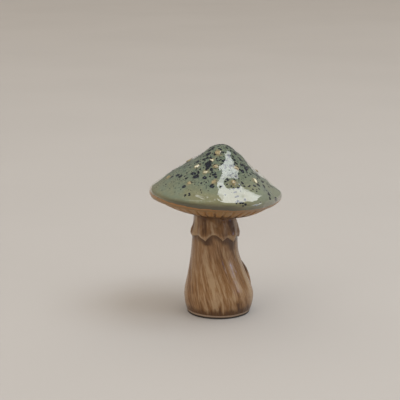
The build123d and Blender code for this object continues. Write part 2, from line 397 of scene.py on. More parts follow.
@dataclass
class Skin:
    """A closed skin over rings of points, and the values that the points carry.

    The rings run from the top outwards and down, and their points anticlockwise from +X. Values that are
    alike all round a ring or all down a column are given once.
    """

    rings: Array
    values: dict[str, Array]
    looped: bool = True

    def flat(self, grid: Array) -> Array:
        """A grid of values as one row for each point of the mesh."""
        depth = grid.shape[2:]
        if self.looped:
            return grid.reshape(-1, *depth)
        return np.concatenate([grid[0, :1], grid[1:-1].reshape(-1, *depth), grid[-1, :1]])

    def faces(self) -> list[tuple[int, ...]]:
        """The faces, which close the rings on each other, or on a pole at either end."""
        rows, columns = self.rings.shape[:2]
        if self.looped:
            starts = [(i * columns, (i + 1) % rows * columns) for i in range(rows)]
        else:
            starts = [(1 + i * columns, 1 + (i + 1) * columns) for i in range(rows - 3)]
        faces = []
        for j in range(columns):
            k = (j + 1) % columns
            faces.extend((upper + j, lower + j, lower + k, upper + k) for upper, lower in starts)
        if not self.looped:
            last = 1 + (rows - 3) * columns
            pole = last + columns
            for j in range(columns):
                k = (j + 1) % columns
                faces.append((0, 1 + j, 1 + k))
                faces.append((last + j, pole, last + k))
        return faces

    def piece(self, name: str, material: Material) -> Piece:
        """A smooth mesh object of the skin, in metres.

        Args:
            name: the piece's name.
            material: its finish.

        Returns:
            The object, linked to the scene.
        """
        mesh = bpy.data.meshes.new(name)
        mesh.from_pydata((self.flat(self.rings) * MM).tolist(), [], self.faces())
        mesh.materials.append(material)
        for title, grid in self.values.items():
            full = np.broadcast_to(grid, (*self.rings.shape[:2], *grid.shape[2:]))
            carry(mesh, title, self.flat(full))
        mesh.shade_smooth()
        return placed(name, mesh)


def placed(name: str, mesh: bpy.types.Mesh) -> Piece:
    """An object of a mesh, linked to the scene at the origin."""
    piece = bpy.data.objects.new(name, mesh)
    bpy.context.scene.collection.objects.link(piece)
    return piece


def carry(mesh: bpy.types.Mesh, title: str, values: Array) -> None:
    """Let a mesh's points carry a number or a vector each.

    Args:
        mesh: the mesh.
        title: the name of what they carry.
        values: one number or one vector for each point.
    """
    vector = values.ndim == 2
    layer = mesh.attributes.new(title, "FLOAT_VECTOR" if vector else "FLOAT", "POINT")
    layer.data.foreach_set("vector" if vector else "value", values.astype(np.float32).ravel())


def fitted(piece: Piece, slot: Slot, *nodes: str) -> None:
    """Put a finished piece in the place of its CAD nodes.

    Args:
        piece: the piece.
        slot: the material slot that its finish stands for; not used.
        nodes: the nodes that it stands for.
    """
    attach(piece, ROOT)
    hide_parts(*nodes)
    log.info("%s: %d faces, stands for %s", piece.name, len(piece.data.polygons), ", ".join(nodes))


def step(values: Array, low: float, high: float) -> Array:
    """A smooth step of each value, 0 at the low end and 1 at the high end."""
    share = np.clip((values - low) / (high - low), 0.0, 1.0)
    return share * share * (3.0 - 2.0 * share)


def apart(turn: Array, centre: Array | float) -> Array:
    """How far some turns are from others, from -180 to 180 degrees."""
    return (turn - centre + 180.0) % 360.0 - 180.0


def bell(away: Array) -> Array:
    """A smooth bell over each distance, 1 at none and almost 0 from 2 on."""
    return np.exp(-away * away)


def arc(across: float, height: float, radius: float, angles: Array) -> Array:
    """A round stretch of a section.

    Args:
        across: how far its centre is from the axis.
        height: how high its centre is.
        radius: its radius.
        angles: the angles of its points, in radians up from level.

    Returns:
        One row each with the distance from the axis, the height and the angle.
    """
    return np.stack([across + radius * np.cos(angles), height + radius * np.sin(angles), angles], axis=1)


def spokes(columns: int) -> tuple[Array, Array]:
    """Even turns round the upright axis, in radians, and the level direction at each."""
    turn = np.linspace(0.0, FULL_TURN, columns, endpoint=False)
    return turn, np.stack([np.cos(turn), np.sin(turn), np.zeros(columns)], axis=1)


def turned(radius: Array, height: Array, columns: int) -> Array:
    """Rings of points round the upright axis.

    Args:
        radius: a row for each ring, with its radius or one radius for each point.
        height: its heights, given in the same way.
        columns: how many points each ring has.

    Returns:
        The points.
    """
    return radius[..., None] * spokes(columns)[1] + height[..., None] * UPRIGHT


def rotated(first: Array, second: Array, angle: float) -> tuple[Array, Array]:
    """Two coordinates turned in their plane by an angle in degrees."""
    cos, sin = math.cos(math.radians(angle)), math.sin(math.radians(angle))
    return first * cos - second * sin, first * sin + second * cos


def islands(node: Piece) -> list[Array]:
    """The points of each separate solid in a CAD node.

    Args:
        node: the node's object.

    Returns:
        For each solid its points, in millimetres.
    """
    work = bmesh.new()
    work.from_mesh(node.data)
    bmesh.ops.remove_doubles(work, verts=work.verts, dist=SAME_PLACE)
    found = []
    seen = set()
    for start in work.verts:
        if start in seen:
            continue
        seen.add(start)
        waiting, group = [start], []
        while waiting:
            vert = waiting.pop()
            group.append(vert.co / MM)
            for edge in vert.link_edges:
                other = edge.other_vert(vert)
                if other not in seen:
                    seen.add(other)
                    waiting.append(other)
        found.append(np.array(group))
    work.free()
    return found


@dataclass(frozen=True)
class Ripple:
    """Smooth unevenness of a surface.

    It has a rise, a number of lumps in one millimetre, and a shift to a part of the noise of its own.
    """

    rise: float
    scale: float
    shift: float

    def over(self, points: Array) -> Array:
        """The rise at each point, from minus the whole rise to the whole of it."""
        flat = points.reshape(-1, 3) * self.scale + self.shift
        return self.rise * np.array([noise.noise(Vector(p)) for p in flat]).reshape(points.shape[:-1])


@dataclass(frozen=True)
class GreenGlaze:
    """Thick, glossy sage-green glaze that breaks to orange-brown where it thins out under the rim.

    The roll is the angle of the surface's normal, which is level at 0 and turns under the rim below it.
    Painted shade darkens the rim where it rolls under, most at the front, and a painted bluish sheen makes
    the right-hand side paler.
    """

    slot: Slot = Slot.GREEN
    sage: Colour = (0.192, 0.189, 0.106)
    teal: Colour = (0.158, 0.188, 0.132)
    deep: Colour = (0.084, 0.118, 0.090)
    pale: Colour = (0.252, 0.250, 0.164)
    olive: Colour = (0.158, 0.126, 0.062)
    painted_sheen: Colour = (0.255, 0.300, 0.258)
    runs_and_shade: Colour = (0.070, 0.062, 0.034)
    rust: Colour = (0.330, 0.150, 0.045)
    tan: Colour = (0.238, 0.136, 0.050)
    bare: Colour = (0.420, 0.330, 0.250)
    navy: Colour = (0.008, 0.010, 0.016)
    honey: Colour = (0.270, 0.195, 0.085)
    teal_height: Span = (73.0, 82.0)
    olive_roll: Span = (46.0, -8.0)
    shadow_roll: Span = (36.0, -2.0)
    shadow_x: Span = (17.0, 3.0)
    shadow_y: Span = (-18.0, -34.0)
    painted_sheen_x: Span = (12.0, 28.0)
    bare_x: Span = (-36.6, -39.4)
    green_end: float = -36.0
    rust_width: float = 7.0
    tan_width: float = 10.0
    runs_stretch: Triple = (0.5, 0.5, 2.4)
    drawn_stretch: Triple = (0.22, 0.22, 2.6)

    def material(self) -> Material:
        """The glaze's material."""
        recipe = FinishRecipe(self.slot.value)
        at = recipe.place()
        x, y, z = recipe.parts(at)
        roll = recipe.carried("roll")
        busy = recipe.carried("crowd")
        clouds = recipe.noise(at, 0.075, 3.0)
        mottle = recipe.noise(at, 0.75, 4.0, 0.62, 0.4)
        wander = recipe.noise(at, 0.16, 2.0)
        runs = recipe.noise(recipe.vector("MULTIPLY", at, self.runs_stretch), 0.34, 3.0, 0.6, 0.6)
        drawn = recipe.noise(recipe.vector("MULTIPLY", at, self.drawn_stretch), 0.5, 3.0, 0.6, 0.8)
        low = (roll + wander * 40.0 - 20.0).step(*self.olive_roll)
        front = y.step(*self.shadow_y) * x.step(*self.shadow_x)
        edge = roll + (wander - 0.5) * 18.0 + (mottle - 0.5) * 8.0 - recipe.carried("hang")
        thin = edge.step(self.green_end + self.rust_width, self.green_end)
        honey = recipe.carried("honey") + (mottle - 0.5) * 1.1
        reach, own = recipe.cells(at, 0.95)
        pepper = reach.step(0.42, 0.26) * (own - (busy * 0.36 + 0.012)).step(0.01, -0.01)
        blot = recipe.carried("speck") + (recipe.noise(at, 0.8, 3.0, 0.6, 0.6) - 0.5) * 1.5
        colour = recipe.layered(
            self.sage,
            (clouds.step(0.40, 0.66).most(z.step(*self.teal_height) * 0.75), self.teal),
            (mottle.step(0.46, 0.74) * 0.55, self.pale),
            (busy * (mottle.step(0.62, 0.36) * 0.55 + 0.25), self.deep),
            (low * 0.72, self.olive),
            (low * runs.step(0.45, 0.68) * 0.55, self.teal),
            # dark runs of glaze on the low band, in the same dark colour that the painted shade below uses
            (low * drawn.step(0.52, 0.66) * 0.5, self.runs_and_shade),
            # painted sheen: the right-hand side made paler and bluer, as the light from that side would
            # make it
            (x.step(*self.painted_sheen_x) * 0.34, self.painted_sheen),
            # painted shade: the rim darkened where it rolls under, most at the front and a little all round
            (roll.step(*self.shadow_roll) * (front * 0.92 + 0.12), self.runs_and_shade),
            (x.step(*self.bare_x) * 0.75, self.bare),
            (thin, self.rust),
            (edge.step(self.green_end, self.green_end - self.tan_width), self.tan),
            (honey.step(0.10, 0.60) * 0.36, self.honey),
            (pepper * 0.9, self.navy),
            (blot.step(0.12, 0.36), self.navy),
        )
        return recipe.done(
            Base_Color=colour,
            Roughness=mottle.step(0.4, 0.8) * 0.05 + thin * 0.22 + 0.06,
            Normal=recipe.bump(recipe.noise(at, 0.28, 2.0), 0.05),
            Coat_Weight=0.85 - thin * 0.85,
            Coat_Roughness=0.03,
            IOR=1.5,
        )


@dataclass(frozen=True)
class GillGlaze:
    """Thin tan glaze on the underside, wiped dark into the grooves between the gills, with painted shade
    near its joint with the stem.
    """

    slot: Slot = Slot.GILL
    tan: Colour = (0.345, 0.212, 0.100)
    orange: Colour = (0.345, 0.176, 0.064)
    dark: Colour = (0.085, 0.040, 0.014)

    def material(self) -> Material:
        """The glaze's material."""
        recipe = FinishRecipe(self.slot.value)
        at = recipe.place()
        clouds = recipe.noise(at, 0.14, 4.0, 0.6)
        fine = recipe.noise(at, 1.1, 3.0)
        worn = clouds.step(0.46, 0.66) * 0.60 + 0.03
        groove = (recipe.carried("groove") * 1.2 + (fine - 0.5) * 0.7).step(0.25, 0.9)
        # painted shade: darker towards the joint with the stem, under the cap, with a ragged edge
        joint_shade = recipe.carried("joint") + (recipe.noise(at, 0.32, 3.0, 0.6) - 0.5) * 1.3
        colour = recipe.layered(
            self.tan,
            (clouds.step(0.38, 0.62), self.orange),
            ((fine - 0.35) * 0.35, self.dark),
            (groove * worn, self.dark),
            (joint_shade.step(0.35, 0.85) * 0.85, self.dark),
        )
        return recipe.done(
            Base_Color=colour,
            Roughness=fine * 0.16 + 0.36,
            Normal=recipe.bump(fine, 0.12),
            Specular_IOR_Level=0.35,
        )


@dataclass(frozen=True)
class BarkGlaze:
    """Brown glaze that is brushed on in streaks: pale on the ridges, dark in the furrows."""

    slot: Slot
    pale: Colour = (0.354, 0.239, 0.137)
    brown: Colour = (0.225, 0.115, 0.046)
    dark: Colour = (0.066, 0.027, 0.009)
    clay: Colour = (0.335, 0.240, 0.168)
    contact_shade: Colour = (0.045, 0.038, 0.032)
    fine_scale: float = 1.0
    clay_height: Span = (2.25, 1.95)
    contact_shade_height: Span = (1.25, 1.00)
    gloss_height: Span = (23.5, 28.0)

    def material(self) -> Material:
        """The glaze's material."""
        recipe = FinishRecipe(self.slot.value)
        at = recipe.place()
        grain = recipe.carried_vector("grain")
        stroke = recipe.carried("stroke")
        broad = recipe.noise(grain, 0.55 * self.fine_scale, 3.0, 0.55, 0.2)
        streak = recipe.noise(grain, 1.7 * self.fine_scale, 4.0, 0.62, 0.1)
        hair = recipe.noise(grain, 4.2 * self.fine_scale, 2.0, 0.6)
        patch = recipe.noise(at, 0.16, 3.0, 0.6)
        brushed = broad * 0.6 + streak * 1.2 + hair * 0.8
        tone = brushed - recipe.carried("furrow") * 0.18 + stroke * 0.28 - 0.8
        drips = (streak - 0.5) * 0.8 + (hair - 0.5) * 1.0
        # painted shade: the carried shade darkens the glaze under the cap, below the veil's hem, in its
        # folds, in the lobe's crease and towards the foot, broken up by drips
        pooled_and_shade = recipe.carried("shade") - stroke * 0.35 + drips + (patch - 0.5) * 0.5
        height = recipe.parts(at)[2] + (patch - 0.5) * 0.5
        foot = height.step(*self.clay_height)
        colour = recipe.layered(
            self.brown,
            (tone.step(0.40, 0.72), self.pale),
            (tone.step(0.42, 0.06) * 0.8, self.dark),
            (patch.step(0.5, 0.74) * 0.4, self.brown),
            # painted shade, with dark drips at the foot
            (pooled_and_shade.step(0.2, 1.0) * 0.8, self.dark),
            (foot, self.clay),
            # painted shade: the lowest millimetre of the foot painted near black as the contact shadow
            (height.step(*self.contact_shade_height), self.contact_shade),
        )
        return recipe.done(
            Base_Color=colour,
            Roughness=0.24 + (1.0 - tone).step(0.2, 0.9) * 0.14 + foot * 0.3,
            Normal=recipe.bump(streak * 0.6 + hair * 0.4, 0.12),
            Coat_Weight=height.step(*self.gloss_height) * 0.26 + 0.10,
            Coat_Roughness=0.08,
            Specular_IOR_Level=0.30,
        )


@dataclass(frozen=True)
class AmberGlass:
    """Crushed amber glass: gold in its depth, with cream painted on its bright facets as painted glints."""

    slot: Slot = Slot.AMBER
    gold: Colour = (0.365, 0.305, 0.175)
    brown: Colour = (0.225, 0.175, 0.092)
    cream: Colour = (0.720, 0.680, 0.500)

    def material(self) -> Material:
        """The glass's material."""
        recipe = FinishRecipe(self.slot.value)
        at = recipe.place()
        veins = recipe.noise(at, 0.9, 3.0, 0.6, 0.5)
        # painted glints: the carried tone and the veins paint some facets cream
        bright = recipe.carried("tone") + (veins - 0.5) * 0.9
        return recipe.done(
            Base_Color=recipe.layered(
                self.brown, (veins.step(0.35, 0.62), self.gold), (bright.step(0.35, 0.85), self.cream)
            ),
            Roughness=veins * 0.08 + 0.08,
            Normal=recipe.bump(recipe.noise(at, 2.0, 2.0), 0.05),
            Coat_Weight=0.3,
            Coat_Roughness=0.03,
            IOR=1.6,
        )


@dataclass(frozen=True)
class CobaltGlass:
    """Melted cobalt glass, nearly black, with blue where it is thin."""

    slot: Slot = Slot.COBALT
    black: Colour = (0.012, 0.014, 0.020)
    navy: Colour = (0.024, 0.034, 0.066)

    def material(self) -> Material:
        """The glass's material."""
        recipe = FinishRecipe(self.slot.value)
        at = recipe.place()
        depth = recipe.noise(at, 0.8, 3.0, 0.6)
        return recipe.done(
            Base_Color=recipe.layered(self.black, (depth.step(0.42, 0.62), self.navy)),
            Roughness=depth * 0.08 + 0.10,
            Normal=recipe.bump(recipe.noise(at, 1.6, 2.0), 0.08),
            IOR=1.6,
        )


@dataclass(frozen=True)
class PlainClay:
    """Fired stoneware without glaze: buff, with fine iron specks."""

    slot: Slot
    buff: Colour = (0.480, 0.390, 0.300)
    iron: Colour = (0.180, 0.105, 0.060)

    def material(self) -> Material:
        """The clay's material."""
        recipe = FinishRecipe(self.slot.value)
        at = recipe.place()
        grit = recipe.noise(at, 1.8, 4.0, 0.65)
        reach, own = recipe.cells(at, 0.7)
        stain = grit.step(0.35, 0.7) * 0.4
        speck = reach.step(0.2, 0.1) * own.step(0.7, 0.72)
        return recipe.done(
            Base_Color=recipe.layered(self.buff, (stain, self.iron), (speck, self.iron)),
            Roughness=grit * 0.15 + 0.75,
            Normal=recipe.bump(grit, 0.15),
        )


@dataclass(frozen=True)
class Mound:
    """A rise or a hollow that the maker's fingers or a sunken chip leave in the cap's surface."""

    turn: float
    reach: float
    rise: float
    spread: float


@dataclass(frozen=True)
class Swell:
    """A long rise along part of the cap's flank, which fades over the outer half of its half turn."""

    turn: float
    half_turn: float
    reach: float
    rise: float
    spread: float


@dataclass(frozen=True)
class Ridge:
    """A thin run of glaze that stands proud on the cap between two places, each a turn and a reach."""

    start: tuple[float, float]
    end: tuple[float, float]
    rise: float
    spread: float


@dataclass
class CapForm:
    """The form that the cap's pieces share, drawn on the cap's own axis from its seat up.

    Its section is a round crown, a straight flank and a round rim. The surface is calm low on the cap and
    uneven above that, and nothing is pressed in further than the deepest hollow.
    """

    radius: float = 36.6
    height: float = 37.8
    rim_height: float = 10.1
    apex_radius: float = 11.3
    rim_radius: float = 3.7
    seat_radius: float = 18.0
    lean: float = 0.146
    fall: float = 0.051
    offset: float = -1.6
    joint_height: float = 58.5
    joint_shift: float = -2.2
    presses: tuple[Mound, ...] = (
        Mound(180.0, 26.5, 0.70, 7.0),
        Mound(184.0, 14.0, -0.75, 8.0),
        Mound(0.0, 21.0, -0.50, 8.0),
        Mound(-2.0, 36.4, 0.95, 6.0),
        Mound(4.0, 12.0, 0.35, 3.0),
        Mound(-6.0, 27.5, 0.35, 2.2),
        Mound(-74.0, 25.6, 1.0, 2.3),
        Mound(-66.0, 26.5, 1.0, 1.7),
        Mound(-67.5, 11.0, 0.70, 4.3),
        Mound(-50.5, 8.0, 0.50, 2.7),
        Mound(-90.0, 35.0, 0.80, 3.2),
        Mound(-98.0, 31.0, 0.35, 9.0),
    )
    swells: tuple[Swell, ...] = (Swell(-8.0, 53.0, 28.0, 0.20, 4.2),)
    ridges: tuple[Ridge, ...] = (
        Ridge((-60.0, 30.0), (-42.5, 32.0), 1.46, 5.7),
        Ridge((-59.0, 35.0), (-29.0, 34.0), 0.30, 2.5),
        Ridge((-130.0, 33.6), (-95.0, 35.2), 0.16, 2.4),
        Ridge((-111.5, 32.2), (-100.0, 33.5), 0.36, 1.2),
        Ridge((-94.5, 33.0), (-87.5, 35.2), 0.36, 1.0),
        Ridge((-59.0, 36.9), (-46.0, 37.0), 0.60, 1.6),
    )
    broad: Ripple = Ripple(0.22, 0.055, 3.1)
    middling: Ripple = Ripple(0.10, 0.17, 7.7)
    fine: Ripple = Ripple(0.035, 0.42, 1.9)
    uneven_height: Span = (11.0, 19.0)
    uneven_fall: float = 0.1
    calm: float = 0.25
    deepest: float = -0.52

    def __post_init__(self) -> None:
        """Work out where the flank touches the crown and the rim, and start the list of mounds."""
        down = self.rim_height - self.apex_height
        gap = self.apex_radius - self.rim_radius
        self.flank = math.atan2(down, self.rim_centre) + math.acos(gap / math.hypot(self.rim_centre, down))
        self.mounds = list(self.presses)

    @property
    def apex_height(self) -> float:
        """Height of the crown circle's centre."""
        return self.height - self.apex_radius

    @property
    def rim_centre(self) -> float:
        """Distance of the rim circle's centre from the axis."""
        return self.radius - self.rim_radius

    def section(self, inset: float, end: float, rows: tuple[int, int, int]) -> Array:
        """The cap's section from its top to an angle round the rim.

        Args:
            inset: how far the section is drawn in.
            end: the angle at which it ends, in degrees.
            rows: how many steps the crown, the flank and the rim have.

        Returns:
            One row each with the distance from the axis, the height and the normal's angle.
        """
        crown = np.linspace(math.pi / 2, self.flank, rows[0] + 1)
        roll = np.linspace(self.flank, math.radians(end), rows[2] + 1)
        top = arc(0.0, self.apex_height, self.apex_radius - inset, crown)
        low = arc(self.rim_centre, self.rim_height, self.rim_radius - inset, roll)
        share = np.linspace(0.0, 1.0, rows[1] + 1)[1:-1, None]
        return np.concatenate([top, top[-1] * (1.0 - share) + low[0] * share, low])

    def leant(self, points: Array) -> Array:
        """Points on the cap's own axis, carried to their place on the stem."""
        x, y, z = np.moveaxis(points, -1, 0)
        along = x + self.lean * z + self.joint_shift + self.offset
        return np.stack([along, y, z - self.fall * x + self.joint_height], axis=-1)

    def upright(self, point: Array) -> Array:
        """A point on the stem, carried back to the cap's own axis."""
        x = point[0] - self.joint_shift - self.offset
        z = point[2] - self.joint_height
        own_x = (x - self.lean * z) / (1.0 + self.lean * self.fall)
        return np.array([own_x, point[1], z + self.fall * own_x])

    def spot(self, turn: float, reach: float) -> tuple[Array, Array]:
        """A place on the upper surface and its outward normal, on the cap's own axis.

        Args:
            turn: the turn from +X, in degrees.
            reach: the distance from the axis.

        Returns:
            The point and the normal.
        """
        flank_start = self.apex_radius * math.cos(self.flank)
        rim_start = self.rim_centre + self.rim_radius * math.cos(self.flank)
        if reach < flank_start:
            normal = math.acos(reach / self.apex_radius)
            height = self.apex_height + self.apex_radius * math.sin(normal)
        elif reach < rim_start:
            normal = self.flank
            height = self.apex_height + self.apex_radius * math.sin(normal)
            height -= (reach - flank_start) / math.tan(normal)
        else:
            normal = math.acos(min((reach - self.rim_centre) / self.rim_radius, 1.0))
            height = self.rim_height + self.rim_radius * math.sin(normal)
        side = np.array([math.cos(math.radians(turn)), math.sin(math.radians(turn)), 0.0])
        return reach * side + height * UPRIGHT, math.cos(normal) * side + math.sin(normal) * UPRIGHT

    def relief(self, points: Array) -> Array:
        """How far the hand-made surface stands out from the drawn one.

        Args:
            points: places on the drawn surface, on the cap's own axis.

        Returns:
            The height at each place, in millimetres.
        """
        x, y, z = np.moveaxis(points, -1, 0)
        uneven = step(z - self.uneven_fall * x, *self.uneven_height)
        height = self.broad.over(points)
        height += self.middling.over(points) * (self.calm + (1.0 - self.calm) * uneven)
        height += self.fine.over(points) * uneven
        for swell in self.swells:
            aside = np.abs(apart(np.degrees(np.arctan2(y, x)), swell.turn))
            away = (np.hypot(x, y) - swell.reach) / swell.spread
            height += swell.rise * bell(away) * step(aside, swell.half_turn, swell.half_turn / 2)
        for ridge in self.ridges:
            start, end = self.spot(*ridge.start)[0], self.spot(*ridge.end)[0]
            along = end - start
            share = np.clip((points - start) @ along / (along @ along), 0.0, 1.0)
            away = np.linalg.norm(points - start - share[..., None] * along, axis=-1)
            height += ridge.rise * bell(away / ridge.spread)
        for mound in self.mounds:
            away = np.linalg.norm(points - self.spot(mound.turn, mound.reach)[0], axis=-1)
            height += mound.rise * bell(away / mound.spread)
        return np.maximum(height, self.deepest)


@dataclass(frozen=True)
class Chip:
    """One glass chip on the glaze: where it sits, which way it faces, and how large it is."""

    base: Array
    facing: Array
    size: float
    spin: float
    tone: float


@dataclass
class GlassChips:
    """A group of glass chips that are fused on the cap's glaze.

    A granule's corners lie between an inner share and all of its size from its heart. Its width, its
    thickness and how deep it is sunk are shares of its size too, and so are the rise and the spread of the
    mound round it. The bright ones, whose facets are painted cream as painted glints, are named by a turn
    and a reach.
    """

    name: str
    node: str
    finish: AmberGlass | CobaltGlass
    corners: int
    thickness: float
    width: float
    sunk: float
    rounds: int
    mound_rise: float
    mound_spread: float
    grow: float = 1.0
    inner_share: float = 0.66
    variants: int = 6
    spin_step: float = 37.0
    plain_tone: float = 0.25
    glint_tone: float = 0.7
    bright: tuple[tuple[float, float], ...] = ()

    def gather(self, node: Piece, cap: CapForm) -> list[Chip]:
        """Read the chips' places from the CAD node and raise the glaze round them.

        Args:
            node: the CAD node, with one solid for each chip.
            cap: the cap that they sit on.

        Returns:
            The chips, still on the drawn surface.
        """
        bright = [cap.spot(turn, reach)[0] for turn, reach in self.bright]
        chips = []
        for i, points in enumerate(islands(node)):
            heart = points.mean(axis=0)
            x, y, _ = cap.upright(heart)
            turn, reach = math.degrees(math.atan2(y, x)), math.hypot(x, y)
            base, facing = cap.spot(turn, reach)
            size = self.grow * float(np.linalg.norm(points - heart, axis=1).max())
            # painted glints: chips near the named spots get the tone that the finish paints cream
            lit = any(np.linalg.norm(spot - base) < size for spot in bright)
            spin = FULL_TURN * math.sin(self.spin_step * i) ** 2
            chips.append(Chip(base, facing, size, spin, self.glint_tone if lit else self.plain_tone))
            cap.mounds.append(Mound(turn, reach, self.mound_rise * size, self.mound_spread * size))
        return chips

    def build(self, chips: list[Chip], cap: CapForm) -> None:
        """Set a granule on each chip's place.

        Args:
            chips: where they sit.
            cap: the cap that they sit on, with all its mounds.
        """
        drawn = np.array([chip.base for chip in chips])
        facing = np.array([chip.facing for chip in chips])
        rise = cap.relief(drawn)[:, None]
        bases = cap.leant(drawn + facing * rise)
        out = cap.leant(drawn + facing * (rise + 1.0)) - bases
        mesh = bpy.data.meshes.new(self.name)
        mesh.from_pydata((bases * MM).tolist(), [], [])
        carry(mesh, "facing", out / np.linalg.norm(out, axis=1)[:, None])
        carry(mesh, "size", np.array([chip.size * MM for chip in chips]))
        carry(mesh, "spin", np.array([chip.spin for chip in chips]))
        carry(mesh, "tone", np.array([chip.tone for chip in chips]))
        piece = placed(self.name, mesh)
        recipe = FormRecipe(
            f"{self.name} granules",
            {"Corners": self.corners, "Width": self.width, "Thickness": self.thickness, "Sunk": self.sunk},
        )
        granules = recipe.add("GeometryNodeJoinGeometry")
        for seed in range(self.variants):
            recipe.feed(granules.inputs[0], self.granule(recipe, seed))
        faced = recipe.add(
            "FunctionNodeAlignRotationToVector",
            {"axis": "Z"},
            {"Vector": recipe.attribute("facing", "FLOAT_VECTOR")},
        )
        spun = recipe.add("FunctionNodeAxisAngleToRotation", None, {"Angle": recipe.carried("spin")})
        way = recipe.add(
            "FunctionNodeRotateRotation",
            {"rotation_space": "LOCAL"},
            {0: faced.outputs[0], 1: spun.outputs[0]},
        )
        sown = recipe.add(
            "GeometryNodeInstanceOnPoints",
            None,
            {
                "Points": recipe.inputs.outputs["Geometry"],
                "Instance": granules.outputs[0],
                "Pick Instance": True,
                "Instance Index": recipe.add("GeometryNodeInputIndex").outputs[0],
                "Rotation": way.outputs[0],
                "Scale": recipe.carried("size"),
            },
        )
        recipe.shaped(piece, sown.outputs[0], self.finish.material())
        fitted(piece, self.finish.slot, self.node)

    def granule(self, recipe: FormRecipe, seed: int) -> Socket:
        """The nodes of one granule: the hull of scattered corners, melted round if it has rounds.

        Args:
            recipe: the tree that they go into.
            seed: which scatter the granule has.

        Returns:
            The granule as an instance.
        """
        scatter = recipe.chance(-1.0, 1.0, seed)
        out = recipe.add("ShaderNodeVectorMath", {"operation": "NORMALIZE"}, {0: scatter}).outputs[0]
        ragged = recipe.chance(self.inner_share, 1.0, seed + self.variants)
        sides = {0: 1.0, 1: recipe.size("Width"), 2: recipe.size("Thickness")}
        shape = recipe.add("ShaderNodeCombineXYZ", None, sides).outputs[0]
        sink = recipe.add("ShaderNodeCombineXYZ", None, {2: -recipe.size("Sunk")}).outputs[0]
        for operation, other in (("MULTIPLY", ragged), ("MULTIPLY", shape), ("ADD", sink)):
            out = recipe.vector(operation, out, other)
        corners = recipe.add("GeometryNodePoints", None, {"Count": recipe.size("Corners"), "Position": out})
        hull = recipe.add("GeometryNodeConvexHull", None, {0: corners.outputs[0]}).outputs[0]
        if self.rounds:
            hull = recipe.add("GeometryNodeSubdivisionSurface", None, {0: hull, 1: self.rounds}).outputs[0]
        melted = bool(self.rounds)
        smooth = recipe.add("GeometryNodeSetShadeSmooth", None, {0: hull, "Shade Smooth": melted})
        return recipe.add("GeometryNodeGeometryToInstance", None, {0: smooth.outputs[0]}).outputs[0]


@dataclass(frozen=True)
class Drop:
    """A drop of cobalt that melted into the glaze, with its radius as its size."""

    turn: float
    reach: float
    size: float


@dataclass(frozen=True)
class Cluster:
    """A pinch of cobalt grit that melted into the glaze round one spot.

    Its grains scatter by a share of its spread, and each one's size is between two shares of the given one.
    None comes nearer to the axis than the nearest reach, and inside the inner reach they scatter sideways
    as if they lay on it.
    """

    turn: float
    reach: float
    spread: float
    count: int
    size: float
    scatter: float = 0.6
    nearest: float = 0.2
    inner_reach: float = 3.0
    size_share: tuple[float, float] = (0.55, 1.15)

    def drops(self, chance: random.Random) -> list[Drop]:
        """Where the grains of the pinch lie, and how wide each one melts.

        Args:
            chance: the source of chance, with its seed set.

        Returns:
            A drop for each grain.
        """
        drops = []
        for _ in range(self.count):
            reach = max(self.reach + chance.gauss(0.0, self.scatter) * self.spread, self.nearest)
            aside = chance.gauss(0.0, self.scatter) * self.spread / max(self.reach, self.inner_reach)
            size = self.size * chance.uniform(*self.size_share)
            drops.append(Drop(self.turn + math.degrees(aside), reach, size))
        return drops


